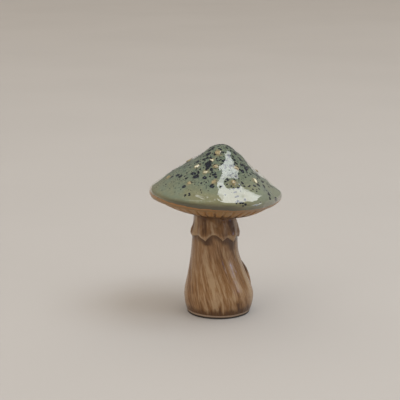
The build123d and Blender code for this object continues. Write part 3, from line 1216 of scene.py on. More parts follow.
@dataclass
class GlazedCap:
    """The thick glaze coat over the dome, rolled round the rim.

    Cobalt grit lies in it in clusters, strewn about, and as single drops. What is strewn thins out on the
    smooth side, opposite the rough turn. The green hangs lower at the sides and towards the left.
    """

    finish: GreenGlaze = GreenGlaze()
    coat: float = 0.6
    wrap: float = -50.0
    columns: int = 440
    rows: tuple[int, int, int] = (24, 116, 24)
    inner_rows: tuple[int, int, int] = (8, 10, 6)
    bead_rows: int = 4
    bleed: float = 1.6
    stain: float = 1.35
    side_hang: float = 22.0
    left_hang: float = 13.0
    left_x: Span = (9.0, -4.0)
    crowd_height: Span = (13.0, 26.0)
    crowd_fall: float = 0.12
    seed: int = 11
    strewn: int = 420
    strewn_power: float = 0.8
    strewn_size: tuple[float, float] = (0.45, 0.95)
    rough_turn: float = 35.0
    smooth_reach: Span = (12.0, 24.0)
    clusters: tuple[Cluster, ...] = (
        Cluster(-115.0, 15.0, 1.6, 7, 1.25),
        Cluster(-124.0, 22.0, 2.2, 8, 1.0),
        Cluster(-145.0, 23.5, 1.5, 4, 0.9),
        Cluster(-132.0, 11.0, 2.4, 7, 0.9),
        Cluster(-100.0, 20.0, 2.6, 8, 0.7),
        Cluster(-110.0, 7.0, 2.4, 5, 0.8),
        Cluster(-60.0, 1.5, 1.6, 4, 0.9),
        Cluster(-150.0, 4.5, 2.0, 4, 0.8),
        Cluster(-40.0, 8.5, 2.4, 8, 0.9),
        Cluster(-50.0, 15.0, 2.6, 8, 0.9),
        Cluster(-36.0, 18.0, 2.6, 9, 0.9),
        Cluster(-62.0, 25.0, 2.0, 5, 0.8),
        Cluster(-97.0, 27.0, 1.4, 3, 0.9),
        Cluster(-106.0, 30.0, 1.2, 3, 0.8),
        Cluster(-20.0, 27.0, 2.4, 4, 0.7),
        Cluster(-12.0, 30.0, 2.0, 4, 0.7),
        Cluster(-68.0, 36.5, 1.3, 6, 0.8),
        Cluster(-160.0, 18.0, 3.0, 6, 0.6),
        Cluster(40.0, 14.0, 3.0, 9, 0.9),
        Cluster(75.0, 20.0, 3.0, 9, 0.9),
        Cluster(110.0, 12.0, 3.0, 9, 0.9),
        Cluster(150.0, 19.0, 3.0, 8, 0.8),
        Cluster(20.0, 24.0, 2.6, 6, 0.8),
        Cluster(95.0, 29.0, 2.4, 5, 0.7),
    )
    single: tuple[Drop, ...] = (
        Drop(-120.0, 33.7, 0.9),
        Drop(-116.0, 33.2, 0.9),
        Drop(-154.5, 31.0, 0.7),
        Drop(-31.0, 32.6, 1.0),
        Drop(-35.5, 35.5, 1.2),
        Drop(-24.0, 36.3, 1.8),
        Drop(-72.5, 35.7, 0.9),
        Drop(-69.0, 35.8, 0.8),
        Drop(-64.5, 36.2, 0.9),
        Drop(-66.5, 36.5, 0.7),
        Drop(-81.5, 24.3, 1.0),
        Drop(-60.0, 25.0, 0.9),
        Drop(-66.5, 27.0, 0.7),
    )

    def build(self, cap: CapForm, cobalt: list[Chip], amber: list[Chip]) -> None:
        """Make the coat, and let it carry how near the melted chips are.

        Args:
            cap: the cap's form with all its mounds.
            cobalt: the chips that bleed blue-black into the glaze.
            amber: the chips that stain it.
        """
        outside = cap.section(0.0, self.wrap, self.rows)
        inside = cap.section(self.coat, self.wrap, self.inner_rows)[::-1]
        section = np.concatenate([outside, self.bead(cap), inside])
        angle = section[:, 2, None]
        points = turned(section[:, 0, None], section[:, 1, None], self.columns)
        normals = turned(np.cos(angle), np.sin(angle), self.columns)
        last = len(outside)
        depth = np.zeros(points.shape[:2])
        depth[:last] = cap.relief(points[:last])
        fade = np.linspace(1.0, 0.0, self.bead_rows + 2)[1:-1, None]
        depth[last : last + self.bead_rows] = depth[last - 1] * fade
        depth[0] = depth[0].mean()
        melted = [(chip.base, chip.size * self.bleed) for chip in cobalt]
        melted.extend((cap.spot(drop.turn, drop.reach)[0], drop.size) for drop in self.grit(cap))
        stained = [(chip.base, chip.size * self.stain) for chip in amber]
        x, z = points[..., 0], points[..., 2]
        values = {
            "roll": np.degrees(angle),
            "hang": self.side_hang * (np.abs(x) / cap.radius) ** 2 + self.left_hang * step(x, *self.left_x),
            "crowd": step(z - self.crowd_fall * x, *self.crowd_height),
            "speck": self.nearness(points, melted),
            "honey": self.nearness(points, stained),
        }
        skin = Skin(cap.leant(points + normals * depth[..., None]), values, looped=False)
        fitted(skin.piece("glazed_cap", self.finish.material()), self.finish.slot, "cap_glaze")

    def bead(self, cap: CapForm) -> Array:
        """The section of the coat's rounded lower edge.

        Args:
            cap: the cap's form.

        Returns:
            One row each with the distance from the axis, the height and the normal's angle.
        """
        end = math.radians(self.wrap)
        half = self.coat / 2
        middle = cap.rim_radius - half
        angles = end - math.pi * np.arange(1, self.bead_rows + 1) / (self.bead_rows + 1)
        across = cap.rim_centre + middle * math.cos(end)
        bead = arc(across, cap.rim_height + middle * math.sin(end), half, angles)
        bead[:, 2] = end
        return bead

    def grit(self, cap: CapForm) -> list[Drop]:
        """Every grain of cobalt grit in the glaze: the clusters, those strewn about, and single drops.

        Args:
            cap: the cap that they lie on.

        Returns:
            A drop for each grain.
        """
        chance = random.Random(self.seed)
        drops = [drop for cluster in self.clusters for drop in cluster.drops(chance)]
        for _ in range(self.strewn):
            reach = cap.rim_centre * chance.random() ** self.strewn_power
            turn = chance.uniform(0.0, 360.0)
            across = reach * -math.cos(math.radians(turn - self.rough_turn))
            if chance.random() > step(np.array(across), *self.smooth_reach):
                drops.append(Drop(turn, reach, chance.uniform(*self.strewn_size)))
        return drops + list(self.single)

    def nearness(self, points: Array, stains: list[tuple[Array, float]]) -> Array:
        """How near each point is to the nearest stain: 1 at its heart, 0 at its edge, less beyond.

        Args:
            points: places on the cap's own axis.
            stains: hearts of the stains, each with its radius.

        Returns:
            One number for each point.
        """
        near = np.full(points.shape[:2], -1.0)
        for heart, radius in stains:
            near = np.maximum(near, 1.0 - np.linalg.norm(points - heart, axis=-1) / radius)
        return near


@dataclass
class GillPlate:
    """The cap's underside with its pressed gills, and the socket for the stem.

    The inner side is hollow: a ledge round the socket, a floor over it, and a ceiling below the rim. The
    gills waver, and their grooves are deeper and shallower along their length. The scales of both count
    the lumps in one metre.
    """

    finish: GillGlaze = GillGlaze()
    wall: float = 3.0
    coat: float = 0.6
    seam: float = 0.4
    socket_radius: float = 8.0
    ledge_inset: float = 4.0
    floor_inset: float = 3.0
    ceiling_share: float = 0.82
    ceiling_inset: float = 6.0
    top_inset: float = 5.2
    gills: int = 40
    groove_width: float = 1.0
    groove_depth: float = 0.75
    groove_side: Span = (0.95, 0.15)
    groove_fade: float = 0.25
    waver: float = 0.5
    waver_scale: float = 110.0
    depth_scale: float = 60.0
    depth_least: float = 0.35
    depth_swing: float = 1.1
    columns: int = 720
    roll_rows: int = 12
    slope_rows: int = 33
    droop: float = 0.038
    belly: float = 1.1
    joint_shade_height: Span = (6.4, 1.6)

    def build(self, cap: CapForm) -> None:
        """Make the plate and press the gills into it.

        Args:
            cap: the cap's form.
        """
        rim = cap.rim_radius - self.coat
        top = cap.rim_height - self.seam / 2
        across = cap.seat_radius - cap.rim_centre
        under = math.atan2(-cap.rim_height, across) + math.acos(rim / math.hypot(across, cap.rim_height))
        angles = np.linspace(math.asin((top - cap.rim_height) / rim), under, self.roll_rows)
        roll = arc(cap.rim_centre, cap.rim_height, rim, angles)[:, :2]
        edge_radius, edge_height = roll[-1]
        share = np.linspace(0.0, 1.0, self.slope_rows + 1)[1:]
        arch = np.sin(math.pi * share)
        reach = edge_radius + (cap.seat_radius - edge_radius) * share
        slope = np.stack([reach, edge_height * (1.0 - share)], axis=1)
        inner = [
            (cap.seat_radius - self.ledge_inset, 0.0),
            (self.socket_radius, 0.0),
            (self.socket_radius, self.wall),
            (cap.seat_radius - self.floor_inset, self.wall),
            (cap.rim_centre - self.ceiling_inset, cap.rim_height * self.ceiling_share),
            (cap.rim_centre - self.top_inset, top),
        ]
        rows = np.concatenate([roll, slope, inner])
        height = rows[:, 1, None]
        pressed, belly = np.zeros_like(height), np.zeros_like(height)
        sloped = slice(self.roll_rows, self.roll_rows + self.slope_rows)
        pressed[sloped, 0], belly[sloped, 0] = arch**self.groove_fade, arch
        points = turned(rows[:, 0, None], height, self.columns)
        near_seat = 1.0 - np.clip(height / edge_height, 0.0, 1.0)
        points[..., 0] -= cap.offset * near_seat
        points[..., 2] -= self.droop * points[..., 0] * near_seat
        points[..., 2] -= self.belly * belly
        values = {
            "turn": spokes(self.columns)[0][None, :],
            "pressed": pressed,
            # painted shade towards the joint with the stem, which the gill finish darkens
            "joint": step(height, *self.joint_shade_height),
        }
        material = self.finish.material()
        piece = Skin(cap.leant(points), values).piece("gill_underside", material)
        groove = self.groove_width * self.gills / (math.pi * (cap.seat_radius + edge_radius))
        sizes = {"Gills": float(self.gills), "Groove Share": groove, "Depth": self.groove_depth * MM}
        recipe = FormRecipe("pressed gills", sizes)
        here = recipe.add("GeometryNodeInputPosition").outputs[0]
        waver = (recipe.noise(here, self.waver_scale, 2.0) - 0.5) * self.waver
        count = recipe.carried("turn") * recipe.size("Gills") / FULL_TURN + waver
        aside = recipe.math("PINGPONG", count, 0.5) / recipe.size("Groove Share")
        mask = aside.step(*self.groove_side) * recipe.carried("pressed")
        uneven = recipe.noise(here, self.depth_scale, 1.0) * self.depth_swing + self.depth_least
        depth = uneven * recipe.size("Depth") * mask
        recipe.shaped(piece, recipe.pushed(-depth, "groove", mask), material)
        fitted(piece, self.finish.slot, "gill_plate")


@dataclass(frozen=True)
class Stroke:
    """One stroke of the brush, pale or dark, from its upper end to its lower one.

    Each end is a turn and a height. Past them the stroke fades over a share of its length and a bit more.
    """

    upper: tuple[float, float]
    lower: tuple[float, float]
    width: float
    tone: float
    fade_share: float = 0.22
    fade_least: float = 0.4

    def over(self, turn: Array, height: Array, radius: Array | float) -> Array:
        """How much of the stroke lies on some places.

        Args:
            turn: the places' turns, in degrees.
            height: their heights.
            radius: the radius of what is brushed there.

        Returns:
            The stroke's tone, which fades to nothing off the stroke.
        """
        long = self.upper[1] - self.lower[1]
        share = np.clip((self.upper[1] - height) / long, 0.0, 1.0)
        heart = self.upper[0] + (self.lower[0] - self.upper[0]) * share
        aside = np.radians(apart(turn, heart)) * radius / self.width
        past = np.maximum(np.maximum(height - self.upper[1], self.lower[1] - height), 0.0)
        past = past / (self.fade_share * long + self.fade_least)
        return self.tone * np.exp(-aside * aside - past * past)


@dataclass
class StemForm:
    """The round form that the stem's pieces share: height, radius and sideways shift at each station.

    The grain of its bark winds round it, most at one turn and least on the other side.
    """

    stations: tuple[Triple, ...] = (
        (0.9, 17.9, -0.1),
        (9.8, 19.7, 0.05),
        (22.0, 16.7, -0.95),
        (34.0, 13.6, -2.2),
        (45.0, 12.7, -2.3),
    )
    foot_flare: float = 1.9
    top_height: float = 60.4
    top_radius: float = 10.8
    top_shift: float = -2.2
    twist: float = -0.012
    twist_mean: float = 0.55
    twist_swing: float = 0.60
    twist_turn: float = -150.0
    streaks: float = 12.0
    streak_length: float = 17.0

    def at(self, height: Array) -> tuple[Array, Array]:
        """The stem's radius and its axis' sideways shift at some heights.

        Args:
            height: the heights.

        Returns:
            The radii and the shifts.
        """
        knots = np.array(self.stations)
        slopes = np.gradient(knots[:, 1:], knots[:, 0], axis=0)
        slopes[0] = (knots[1, 1:] - knots[0, 1:]) / (knots[1, 0] - knots[0, 0]) * self.foot_flare
        low = np.clip(height, knots[0, 0], knots[-1, 0])
        i = np.clip(np.searchsorted(knots[:, 0], low, side="right") - 1, 0, len(knots) - 2)
        gap = (knots[i + 1, 0] - knots[i, 0])[..., None]
        t = (low - knots[i, 0])[..., None] / gap
        curve = (
            (1 + 2 * t) * (1 - t) ** 2 * knots[i, 1:]
            + t * (1 - t) ** 2 * gap * slopes[i]
            + t**2 * (3 - 2 * t) * knots[i + 1, 1:]
            + t**2 * (t - 1) * gap * slopes[i + 1]
        )
        above = np.clip((height - knots[-1, 0]) / (self.top_height - knots[-1, 0]), 0.0, 1.0)[..., None]
        curve = curve * (1 - above) + np.array([self.top_radius, self.top_shift]) * above
        return curve[..., 0], curve[..., 1]

    def section(self, height: Array, inset: float = 0.0) -> Array:
        """Rows of radius, height and sideways shift at some heights, with the radius drawn in."""
        radius, shift = self.at(height)
        return np.stack([radius - inset, height, shift], axis=1)

    def grain(self, points: Array) -> Array:
        """Places in the grain of the bark, which winds slowly round the stem.

        Args:
            points: places on the stem.

        Returns:
            The grain's own places, drawn out along the streaks.
        """
        _, shift = self.at(points[..., 2])
        turn = np.arctan2(points[..., 1], points[..., 0] - shift)
        share = self.twist_mean + self.twist_swing * np.cos(turn - math.radians(self.twist_turn))
        turn = turn - self.twist * points[..., 2] * share
        ring = np.stack([np.cos(turn), np.sin(turn)], axis=-1) * self.streaks
        return np.concatenate([ring, points[..., 2:] / self.streak_length], axis=-1)


@dataclass
class Veil:
    """The scalloped skirt under the cap, with folds that run down to the tips of its hem.

    Each tip has its turn, its height and how far the hem arches up between it and the next one. The skirt
    comes down from its top to a lip, which rolls under to the hem, and from there its back goes up inside
    the stem's wall, in a few shares of the way. The pale line along the hem is a painted highlight on the
    lip, and it comes in and fades out between rings that are counted from the top. Painted shade darkens
    the skirt under the cap and in the folds over the arches.
    """

    finish: BarkGlaze = BarkGlaze(Slot.VEIL, fine_scale=0.8)
    axis: float = -2.15
    top_height: float = 56.9
    top_radius: float = 11.5
    lip_height: float = 46.6
    lip_radius: float = 13.6
    lip_stand: float = 1.5
    lip_depth: float = 1.15
    lip_roll: float = 0.62
    lip_under: float = 1.57
    top_fold: float = 0.12
    hem_fold: float = 0.42
    root: float = 0.6
    tuck: float = 0.4
    back_shares: tuple[float, ...] = (0.35, 0.7, 1.0)
    columns: int = 432
    skirt_rows: int = 26
    lip_rows: int = 10
    pinches: Ripple = Ripple(0.60, 0.30, 5.5)
    pinch_stretch: Triple = (1.0, 1.0, 0.45)
    lumps: Ripple = Ripple(0.16, 0.6, 2.5)
    grain_stretch: Triple = (0.55, 0.55, 1.0)
    furrow_share: float = 1.6
    tilt_height: Span = (50.0, 56.5)
    cap_shade_height: Span = (52.5, 57.0)
    cap_shade: float = 0.68
    arch_fold: Span = (-0.2, 0.9)
    arch_height: Span = (56.0, 48.5)
    arch_shade: float = 0.25
    hem_power: float = 0.8
    hem_starts: Span = (24.0, 27.0)
    hem_ends: Span = (33.0, 29.0)
    hem_highlight: float = 0.6
    strokes: tuple[Stroke, ...] = (
        Stroke((-44.0, 54.0), (-41.0, 49.5), 2.2, -1.7),
        Stroke((-122.0, 56.0), (-117.0, 49.0), 1.8, -0.6),
        Stroke((-88.0, 54.0), (-80.0, 47.5), 0.8, -0.7),
        Stroke((-100.0, 53.0), (-96.0, 47.5), 1.3, 0.6),
        Stroke((-152.0, 54.0), (-143.0, 45.0), 2.4, 1.2),
        Stroke((-66.0, 52.0), (-64.0, 46.0), 1.1, 0.6),
        Stroke((-18.0, 53.0), (-13.0, 47.0), 1.2, 0.5),
        Stroke((40.0, 54.0), (46.0, 48.0), 1.6, -1.0),
        Stroke((85.0, 54.0), (92.0, 47.0), 1.3, 0.6),
        Stroke((130.0, 55.0), (134.0, 48.0), 1.5, -1.0),
        Stroke((165.0, 53.0), (170.0, 46.0), 1.4, 0.6),
    )
    tips: tuple[Triple, ...] = (
        (-114.0, 43.6, 3.3),
        (-72.0, 43.7, 1.6),
        (-40.0, 42.3, 1.5),
        (-2.0, 43.2, 2.0),
        (36.0, 43.6, 2.3),
        (74.0, 43.8, 2.8),
        (115.0, 43.5, 2.1),
        (150.0, 43.7, 2.6),
        (198.0, 44.6, 1.4),
    )

    def scallop(self, turn: Array) -> tuple[Array, Array]:
        """Where some turns lie in the scallops of the hem.

        Args:
            turn: the turns, in degrees.

        Returns:
            For each turn its share of the way from one tip to the next, and the hem's height.
        """
        first = self.tips[0]
        knots = np.array([*self.tips, (first[0] + 360.0, first[1], first[2])])
        past = first[0] + (turn - first[0]) % 360.0
        i = np.clip(np.searchsorted(knots[:, 0], past, side="right") - 1, 0, len(self.tips) - 1)
        share = (past - knots[i, 0]) / (knots[i + 1, 0] - knots[i, 0])
        hem = knots[i, 1] * (1.0 - share) + knots[i + 1, 1] * share
        return share, hem + knots[i, 2] * np.sin(math.pi * share) ** self.hem_power

    def section(self, stem: StemForm, fold: Array, hem: Array) -> Array:
        """The skirt's rings, from its top over the lip and up its back.

        Args:
            stem: the stem that it goes round.
            fold: how far each turn is folded out, from -1 to 1.
            hem: the hem's height at each turn.

        Returns:
            For each ring its radii and its heights at all the turns.
        """
        lip = np.maximum(self.lip_height, hem + self.lip_stand)
        rows = []
        for share in np.linspace(0.0, 1.0, self.skirt_rows):
            height = self.top_height + (lip - self.top_height) * share
            down = (self.top_height - height) / (self.top_height - self.lip_height)
            radius = self.top_radius + (self.lip_radius - self.top_radius) * down
            rows.append((radius + fold * (self.top_fold + self.hem_fold * share * share), height))
        lip_radius, lip_height = rows[-1]
        for angle in np.linspace(0.0, math.pi * self.lip_roll, self.lip_rows)[1:]:
            radius = lip_radius - self.lip_depth * (1.0 - math.cos(angle))
            height = lip_height - (lip_height - hem) * math.sin(min(angle, math.pi / 2))
            rows.append((radius, height + max(0.0, angle - self.lip_under)))
        radius, height = rows[-1]
        low = height + self.tuck
        rows.append((np.minimum(radius, stem.at(height)[0] - self.root), low))
        for share in self.back_shares:
            height = low + (self.top_height - low) * share
            rows.append((stem.at(height)[0] - self.root, height))
        return np.array(rows)

    def build(self, stem: StemForm, cap: CapForm) -> None:
        """Make the skirt.

        Args:
            stem: the stem that it goes round.
            cap: the cap that its top follows.
        """
        turn, outward = spokes(self.columns)
        share, hem = self.scallop(np.degrees(turn))
        fold = np.cos(FULL_TURN * share)
        rings = self.section(stem, fold, hem)
        points = turned(rings[:, 0], rings[:, 1], self.columns)
        lumps = self.pinches.over(points * np.array(self.pinch_stretch)) + self.lumps.over(points)
        front = np.ones((len(rings), 1))
        front[-1 - len(self.back_shares) :] = 0.0
        points = points + outward * (lumps * front)[..., None]
        height = points[..., 2]
        brushed = sum(stroke.over(np.degrees(turn), height, self.lip_radius) for stroke in self.strokes)
        # painted highlight: a pale line along the lip of the hem
        ring = np.arange(float(len(rings)))[:, None]
        pale = step(ring, *self.hem_starts) * step(ring, *self.hem_ends)
        height -= cap.fall * points[..., 0] * step(height, *self.tilt_height)
        points[..., 0] += self.axis
        # painted shade: the skirt darkened in the folds over the arches and under the cap
        over_arch = step(-fold, *self.arch_fold) * step(height, *self.arch_height)
        under_cap_shade = step(height, *self.cap_shade_height)
        values = {
            "grain": stem.grain(points) * np.array(self.grain_stretch),
            "furrow": np.clip(0.5 - lumps * self.furrow_share, 0.0, 1.0) * front,
            "shade": np.maximum(under_cap_shade * self.cap_shade, over_arch * self.arch_shade),
            "stroke": brushed + self.hem_highlight * pale,
        }
        piece = Skin(points, values).piece("scalloped_veil", self.finish.material())
        fitted(piece, self.finish.slot, "veil_skirt")


@dataclass
class BarkStem:
    """The hollow stem: furrowed outside, with a bare foot, a drain, a vent and a spigot.

    The foot's edge is cut off by shares of its bevel, and the furrows fade out above it and below the seat.
    Its colour is darkened towards the foot and in the shelter of the veil's hem as painted shade, with dark
    drips at the foot.
    """

    finish: BarkGlaze = BarkGlaze(Slot.STEM)
    foot_bevel: float = 0.9
    bevel_rise: float = 0.66
    bevel_inset: float = 0.2
    wall: float = 3.0
    base_wall: float = 4.0
    crown_wall: float = 4.0
    drain_radius: float = 4.0
    drain_bevel: float = 0.4
    vent_radius: float = 4.5
    spigot_radius: float = 7.6
    spigot_stand: float = 4.5
    seat_slip: float = 0.5
    tilt_depth: float = 6.0
    columns: int = 384
    outer_rows: int = 170
    inner_rows: int = 14
    furrow_depth: float = 0.24
    furrow_scale: float = 0.36
    furrow_part: Span = (0.52, 0.30)
    streak_depth: float = 0.28
    streak_scale: float = 1.25
    furrow_height: Span = (0.9, 3.0)
    furrow_fade: float = 4.0
    foot_shade_height: Span = (8.5, 1.2)
    pooled_and_shade: float = 1.1
    hem_shade_depth: Span = (5.0, 0.0)
    hem_shade: float = 0.85
    strokes: tuple[Stroke, ...] = (
        Stroke((-118.0, 34.0), (-100.0, 22.0), 1.1, 0.75),
        Stroke((-100.0, 22.0), (-96.4, 10.0), 1.3, 0.9),
        Stroke((-96.0, 29.6), (-83.4, 9.3), 0.55, 0.8),
        Stroke((-126.6, 25.6), (-116.0, 18.8), 1.2, 0.5),
        Stroke((-115.0, 14.1), (-109.7, 4.0), 0.6, 0.8),
        Stroke((-18.7, 24.9), (-19.7, 9.3), 2.4, 1.0),
        Stroke((-78.0, 40.8), (-62.0, 31.3), 0.6, 0.7),
        # this pale stroke runs along the faint tail of the stem's highlight, so it is partly a painted
        # highlight
        Stroke((-54.6, 30.0), (-50.5, 17.5), 1.3, 0.6),
        Stroke((-170.6, 17.0), (-162.0, 10.7), 1.8, 0.5),
        # painted shade: these two dark strokes darken the stem just under the veil's arches
        Stroke((-113.0, 44.5), (-109.0, 42.0), 2.6, -1.5),
        Stroke((-50.0, 44.5), (-44.0, 39.0), 3.4, -1.3),
        Stroke((-85.6, 37.7), (-76.0, 24.5), 1.9, -0.45),
        Stroke((-120.0, 27.2), (-111.4, 16.7), 0.8, -0.6),
        Stroke((-130.0, 20.5), (-127.0, 16.7), 0.8, -0.6),
        Stroke((-149.0, 9.3), (-144.4, 5.0), 1.1, -0.8),
        Stroke((-147.0, 16.0), (-140.0, 9.0), 2.4, -0.4),
        Stroke((-122.8, 9.0), (-119.0, 4.0), 1.0, -0.8),
        Stroke((-89.0, 7.0), (-88.0, 3.0), 0.6, -1.0),
        Stroke((-61.0, 9.0), (-50.0, 2.0), 1.1, -0.8),
        Stroke((-41.0, 10.4), (-31.0, 4.7), 1.2, -0.8),
        Stroke((-71.0, 7.0), (-67.0, 3.0), 0.6, -0.8),
        Stroke((-85.0, 12.0), (-83.0, 3.5), 0.5, 0.8),
        Stroke((-97.0, 6.0), (-96.0, 2.5), 0.5, -0.8),
        Stroke((-103.0, 5.5), (-102.0, 2.5), 0.5, -0.7),
        Stroke((-57.0, 7.5), (-53.0, 3.0), 0.5, -0.8),
        Stroke((-52.0, 8.0), (-42.0, 3.0), 3.0, -0.4),
        Stroke((-40.5, 36.0), (-35.8, 31.3), 1.1, -0.6),
        Stroke((-43.0, 27.6), (-44.0, 20.5), 1.0, -0.2),
        Stroke((-70.0, 20.0), (-65.0, 16.4), 1.0, -0.4),
        Stroke((70.0, 36.0), (92.0, 12.0), 1.5, 0.8),
        Stroke((120.0, 32.0), (140.0, 8.0), 1.6, 0.8),
        Stroke((30.0, 30.0), (44.0, 10.0), 1.0, 0.6),
        Stroke((95.0, 38.0), (110.0, 22.0), 1.6, -0.5),
        Stroke((150.0, 30.0), (160.0, 14.0), 1.0, -0.6),
        Stroke((60.0, 9.0), (66.0, 3.0), 1.4, -0.8),
        Stroke((125.0, 9.0), (130.0, 3.0), 1.3, -0.8),
        Stroke((175.0, 10.0), (180.0, 4.0), 1.2, -0.8),
    )

    def section(self, stem: StemForm, seat: float) -> Array:
        """The stem's section, from its seat down the outside, in at the drain and up to the spigot.

        Args:
            stem: the stem's form.
            seat: the height of its seat.

        Returns:
            One row each with the radius, the height and the sideways shift.
        """
        _, foot, shift = stem.stations[0]
        ceiling, spigot = seat - self.crown_wall, seat + self.spigot_stand
        base = [
            (foot, self.foot_bevel * self.bevel_rise, shift),
            (foot - self.foot_bevel * self.bevel_inset, 0.0, shift),
            (self.drain_radius + self.drain_bevel, 0.0, 0.0),
            (self.drain_radius, self.drain_bevel, 0.0),
            (self.drain_radius, self.base_wall, 0.0),
        ]
        crown = [
            (self.vent_radius, ceiling, stem.top_shift),
            (self.vent_radius, spigot, stem.top_shift),
            (self.spigot_radius, spigot, stem.top_shift),
            (self.spigot_radius, seat, stem.top_shift),
        ]
        outer = stem.section(np.linspace(seat, self.foot_bevel, self.outer_rows))
        inner = stem.section(np.linspace(self.base_wall, ceiling, self.inner_rows), self.wall)
        return np.concatenate([outer, base, inner, crown])

    def build(self, stem: StemForm, cap: CapForm, veil: Veil) -> None:
        """Make the stem and furrow it.

        Args:
            stem: the stem's form.
            cap: the cap that its top is trimmed to.
            veil: the skirt that shelters it.
        """
        seat = cap.joint_height - self.seat_slip
        radius, level, shift = np.moveaxis(self.section(stem, seat)[..., None], 1, 0)
        points = turned(radius, level, self.columns)
        points[..., 2] -= cap.fall * points[..., 0] * step(level, seat - self.tilt_depth, seat)
        points[..., 0] += shift
        skin = step(level, *self.furrow_height) * step(level, seat, seat - self.furrow_fade)
        skin[self.outer_rows :] = 0.0
        x, y, height = np.moveaxis(points, -1, 0)
        turns = np.degrees(np.arctan2(y, x - shift))
        # painted shade: darker towards the foot and just below the veil's hem
        foot = step(height, *self.foot_shade_height) * self.pooled_and_shade
        shelter = step(veil.scallop(turns)[1] - height, *self.hem_shade_depth) * self.hem_shade
        values = {
            "skin": skin,
            "grain": stem.grain(points),
            "shade": np.maximum(foot, shelter),
            "stroke": sum(stroke.over(turns, height, radius) for stroke in self.strokes),
        }
        material = self.finish.material()
        piece = Skin(points, values).piece("bark_stem", material)
        sizes = {"Furrow Depth": self.furrow_depth * MM, "Streak Depth": self.streak_depth * MM}
        recipe = FormRecipe("bark furrows", sizes)
        grain = recipe.attribute("grain", "FLOAT_VECTOR")
        furrow = recipe.noise(grain, self.furrow_scale, 2.0, 0.45, 0.25).step(*self.furrow_part)
        streak = recipe.noise(grain, self.streak_scale, 3.0, 0.6) - 0.5
        rise = streak * recipe.size("Streak Depth") - furrow * recipe.size("Furrow Depth")
        recipe.shaped(piece, recipe.pushed(rise * recipe.carried("skin"), "furrow", furrow), material)
        fitted(piece, self.finish.slot, "stem_body")


@dataclass
class BarkLobe:
    """A raised lobe of bark low on the stem's right-hand side, thick and abrupt at its upper end.

    It is a ball that is drawn out downwards to a tail and blunted and flattened above its middle.
    """

    finish: BarkGlaze = BarkGlaze(Slot.BARK)
    height: float = 21.0
    tall: float = 9.2
    tail: float = 12.0
    wide: float = 5.2
    deep: float = 3.0
    proud: float = 1.45
    turn: float = 17.0
    lean: float = 19.0
    flatten: float = 0.8
    flat_part: Span = (-0.2, 0.7)
    blunt_power: float = 0.7
    streaks: Ripple = Ripple(1.0, 0.95, 4.2)
    streak_stretch: Triple = (0.3, 1.0, 0.10)
    streak_depth: float = 0.25
    furrow_least: float = 0.4
    # painted shade along the lobe's upper front edge, in its crease against the stem
    dark_part: Span = (-0.15, 0.2)
    dark_side: Span = (0.2, 0.45)
    dark: float = 1.1
    columns: int = 72
    rows: int = 52

    def build(self, stem: StemForm) -> None:
        """Make the lobe.

        Args:
            stem: the stem that carries it.
        """
        fall = np.linspace(0.0, math.pi, self.rows)[:, None]
        ball = turned(np.sin(fall), np.cos(fall), self.columns)
        out, side, up = np.moveaxis(ball, -1, 0)
        local = ball * np.array([self.deep, self.wide, self.tall])
        local[..., 0] -= self.flatten * step(up, *self.flat_part) * np.maximum(out, 0.0)
        local[..., 2] = np.where(up > 0.0, self.tall * np.abs(up) ** self.blunt_power, self.tail * up)
        streaks = self.streaks.over(local * np.array(self.streak_stretch))
        local[..., 0] += self.streak_depth * streaks * np.sin(fall)
        x, z = rotated(local[..., 0], local[..., 2], self.lean)
        radius, shift = stem.at(np.array(self.height))
        x, y = rotated(x + (radius + self.proud - self.deep), local[..., 1], self.turn)
        points = np.stack([x + shift, y, z + self.height], axis=-1)
        values = {
            "grain": stem.grain(points),
            "furrow": np.clip(self.furrow_least - streaks, 0.0, 1.0),
            # painted shade: the lobe's upper front edge darkened where it meets the stem
            "shade": step(up, *self.dark_part) * step(-side, *self.dark_side) * self.dark,
        }
        piece = Skin(points, values, looped=False).piece("bark_lobe_relief", self.finish.material())
        fitted(piece, self.finish.slot, "bark_lobe")


@dataclass(frozen=True)
class SoftLight:
    """One soft studio light: where it hangs, how large it is and how bright it looks.

    A level light shines straight down, and any other one is turned to the ornament.
    """

    name: str
    place: Triple
    size: tuple[float, float]
    brightness: float
    colour: Colour = (0.96, 0.98, 1.0)
    level: bool = True
    spin: float = 0.0

    def hang(self, aim: Triple, mirrored: bool) -> None:
        """Hang the light.

        Args:
            aim: what it is turned to, in metres.
            mirrored: whether it is only mirrored in the glaze, or else only lights the surfaces.
        """
        data = bpy.data.lights.new(self.name, "AREA")
        data.shape = "RECTANGLE"
        data.size, data.size_y = self.size
        data.energy = self.brightness * self.size[0] * self.size[1] * math.pi
        data.color = self.colour
        light = bpy.data.objects.new(self.name, data)
        light.location = self.place
        light.rotation_euler = (0.0, 0.0, math.radians(self.spin))
        if not self.level:
            light.rotation_euler = (Vector(aim) - Vector(self.place)).to_track_quat("-Z", "Y").to_euler()
        light.visible_glossy = mirrored
        light.visible_diffuse = not mirrored
        bpy.context.scene.collection.objects.link(light)


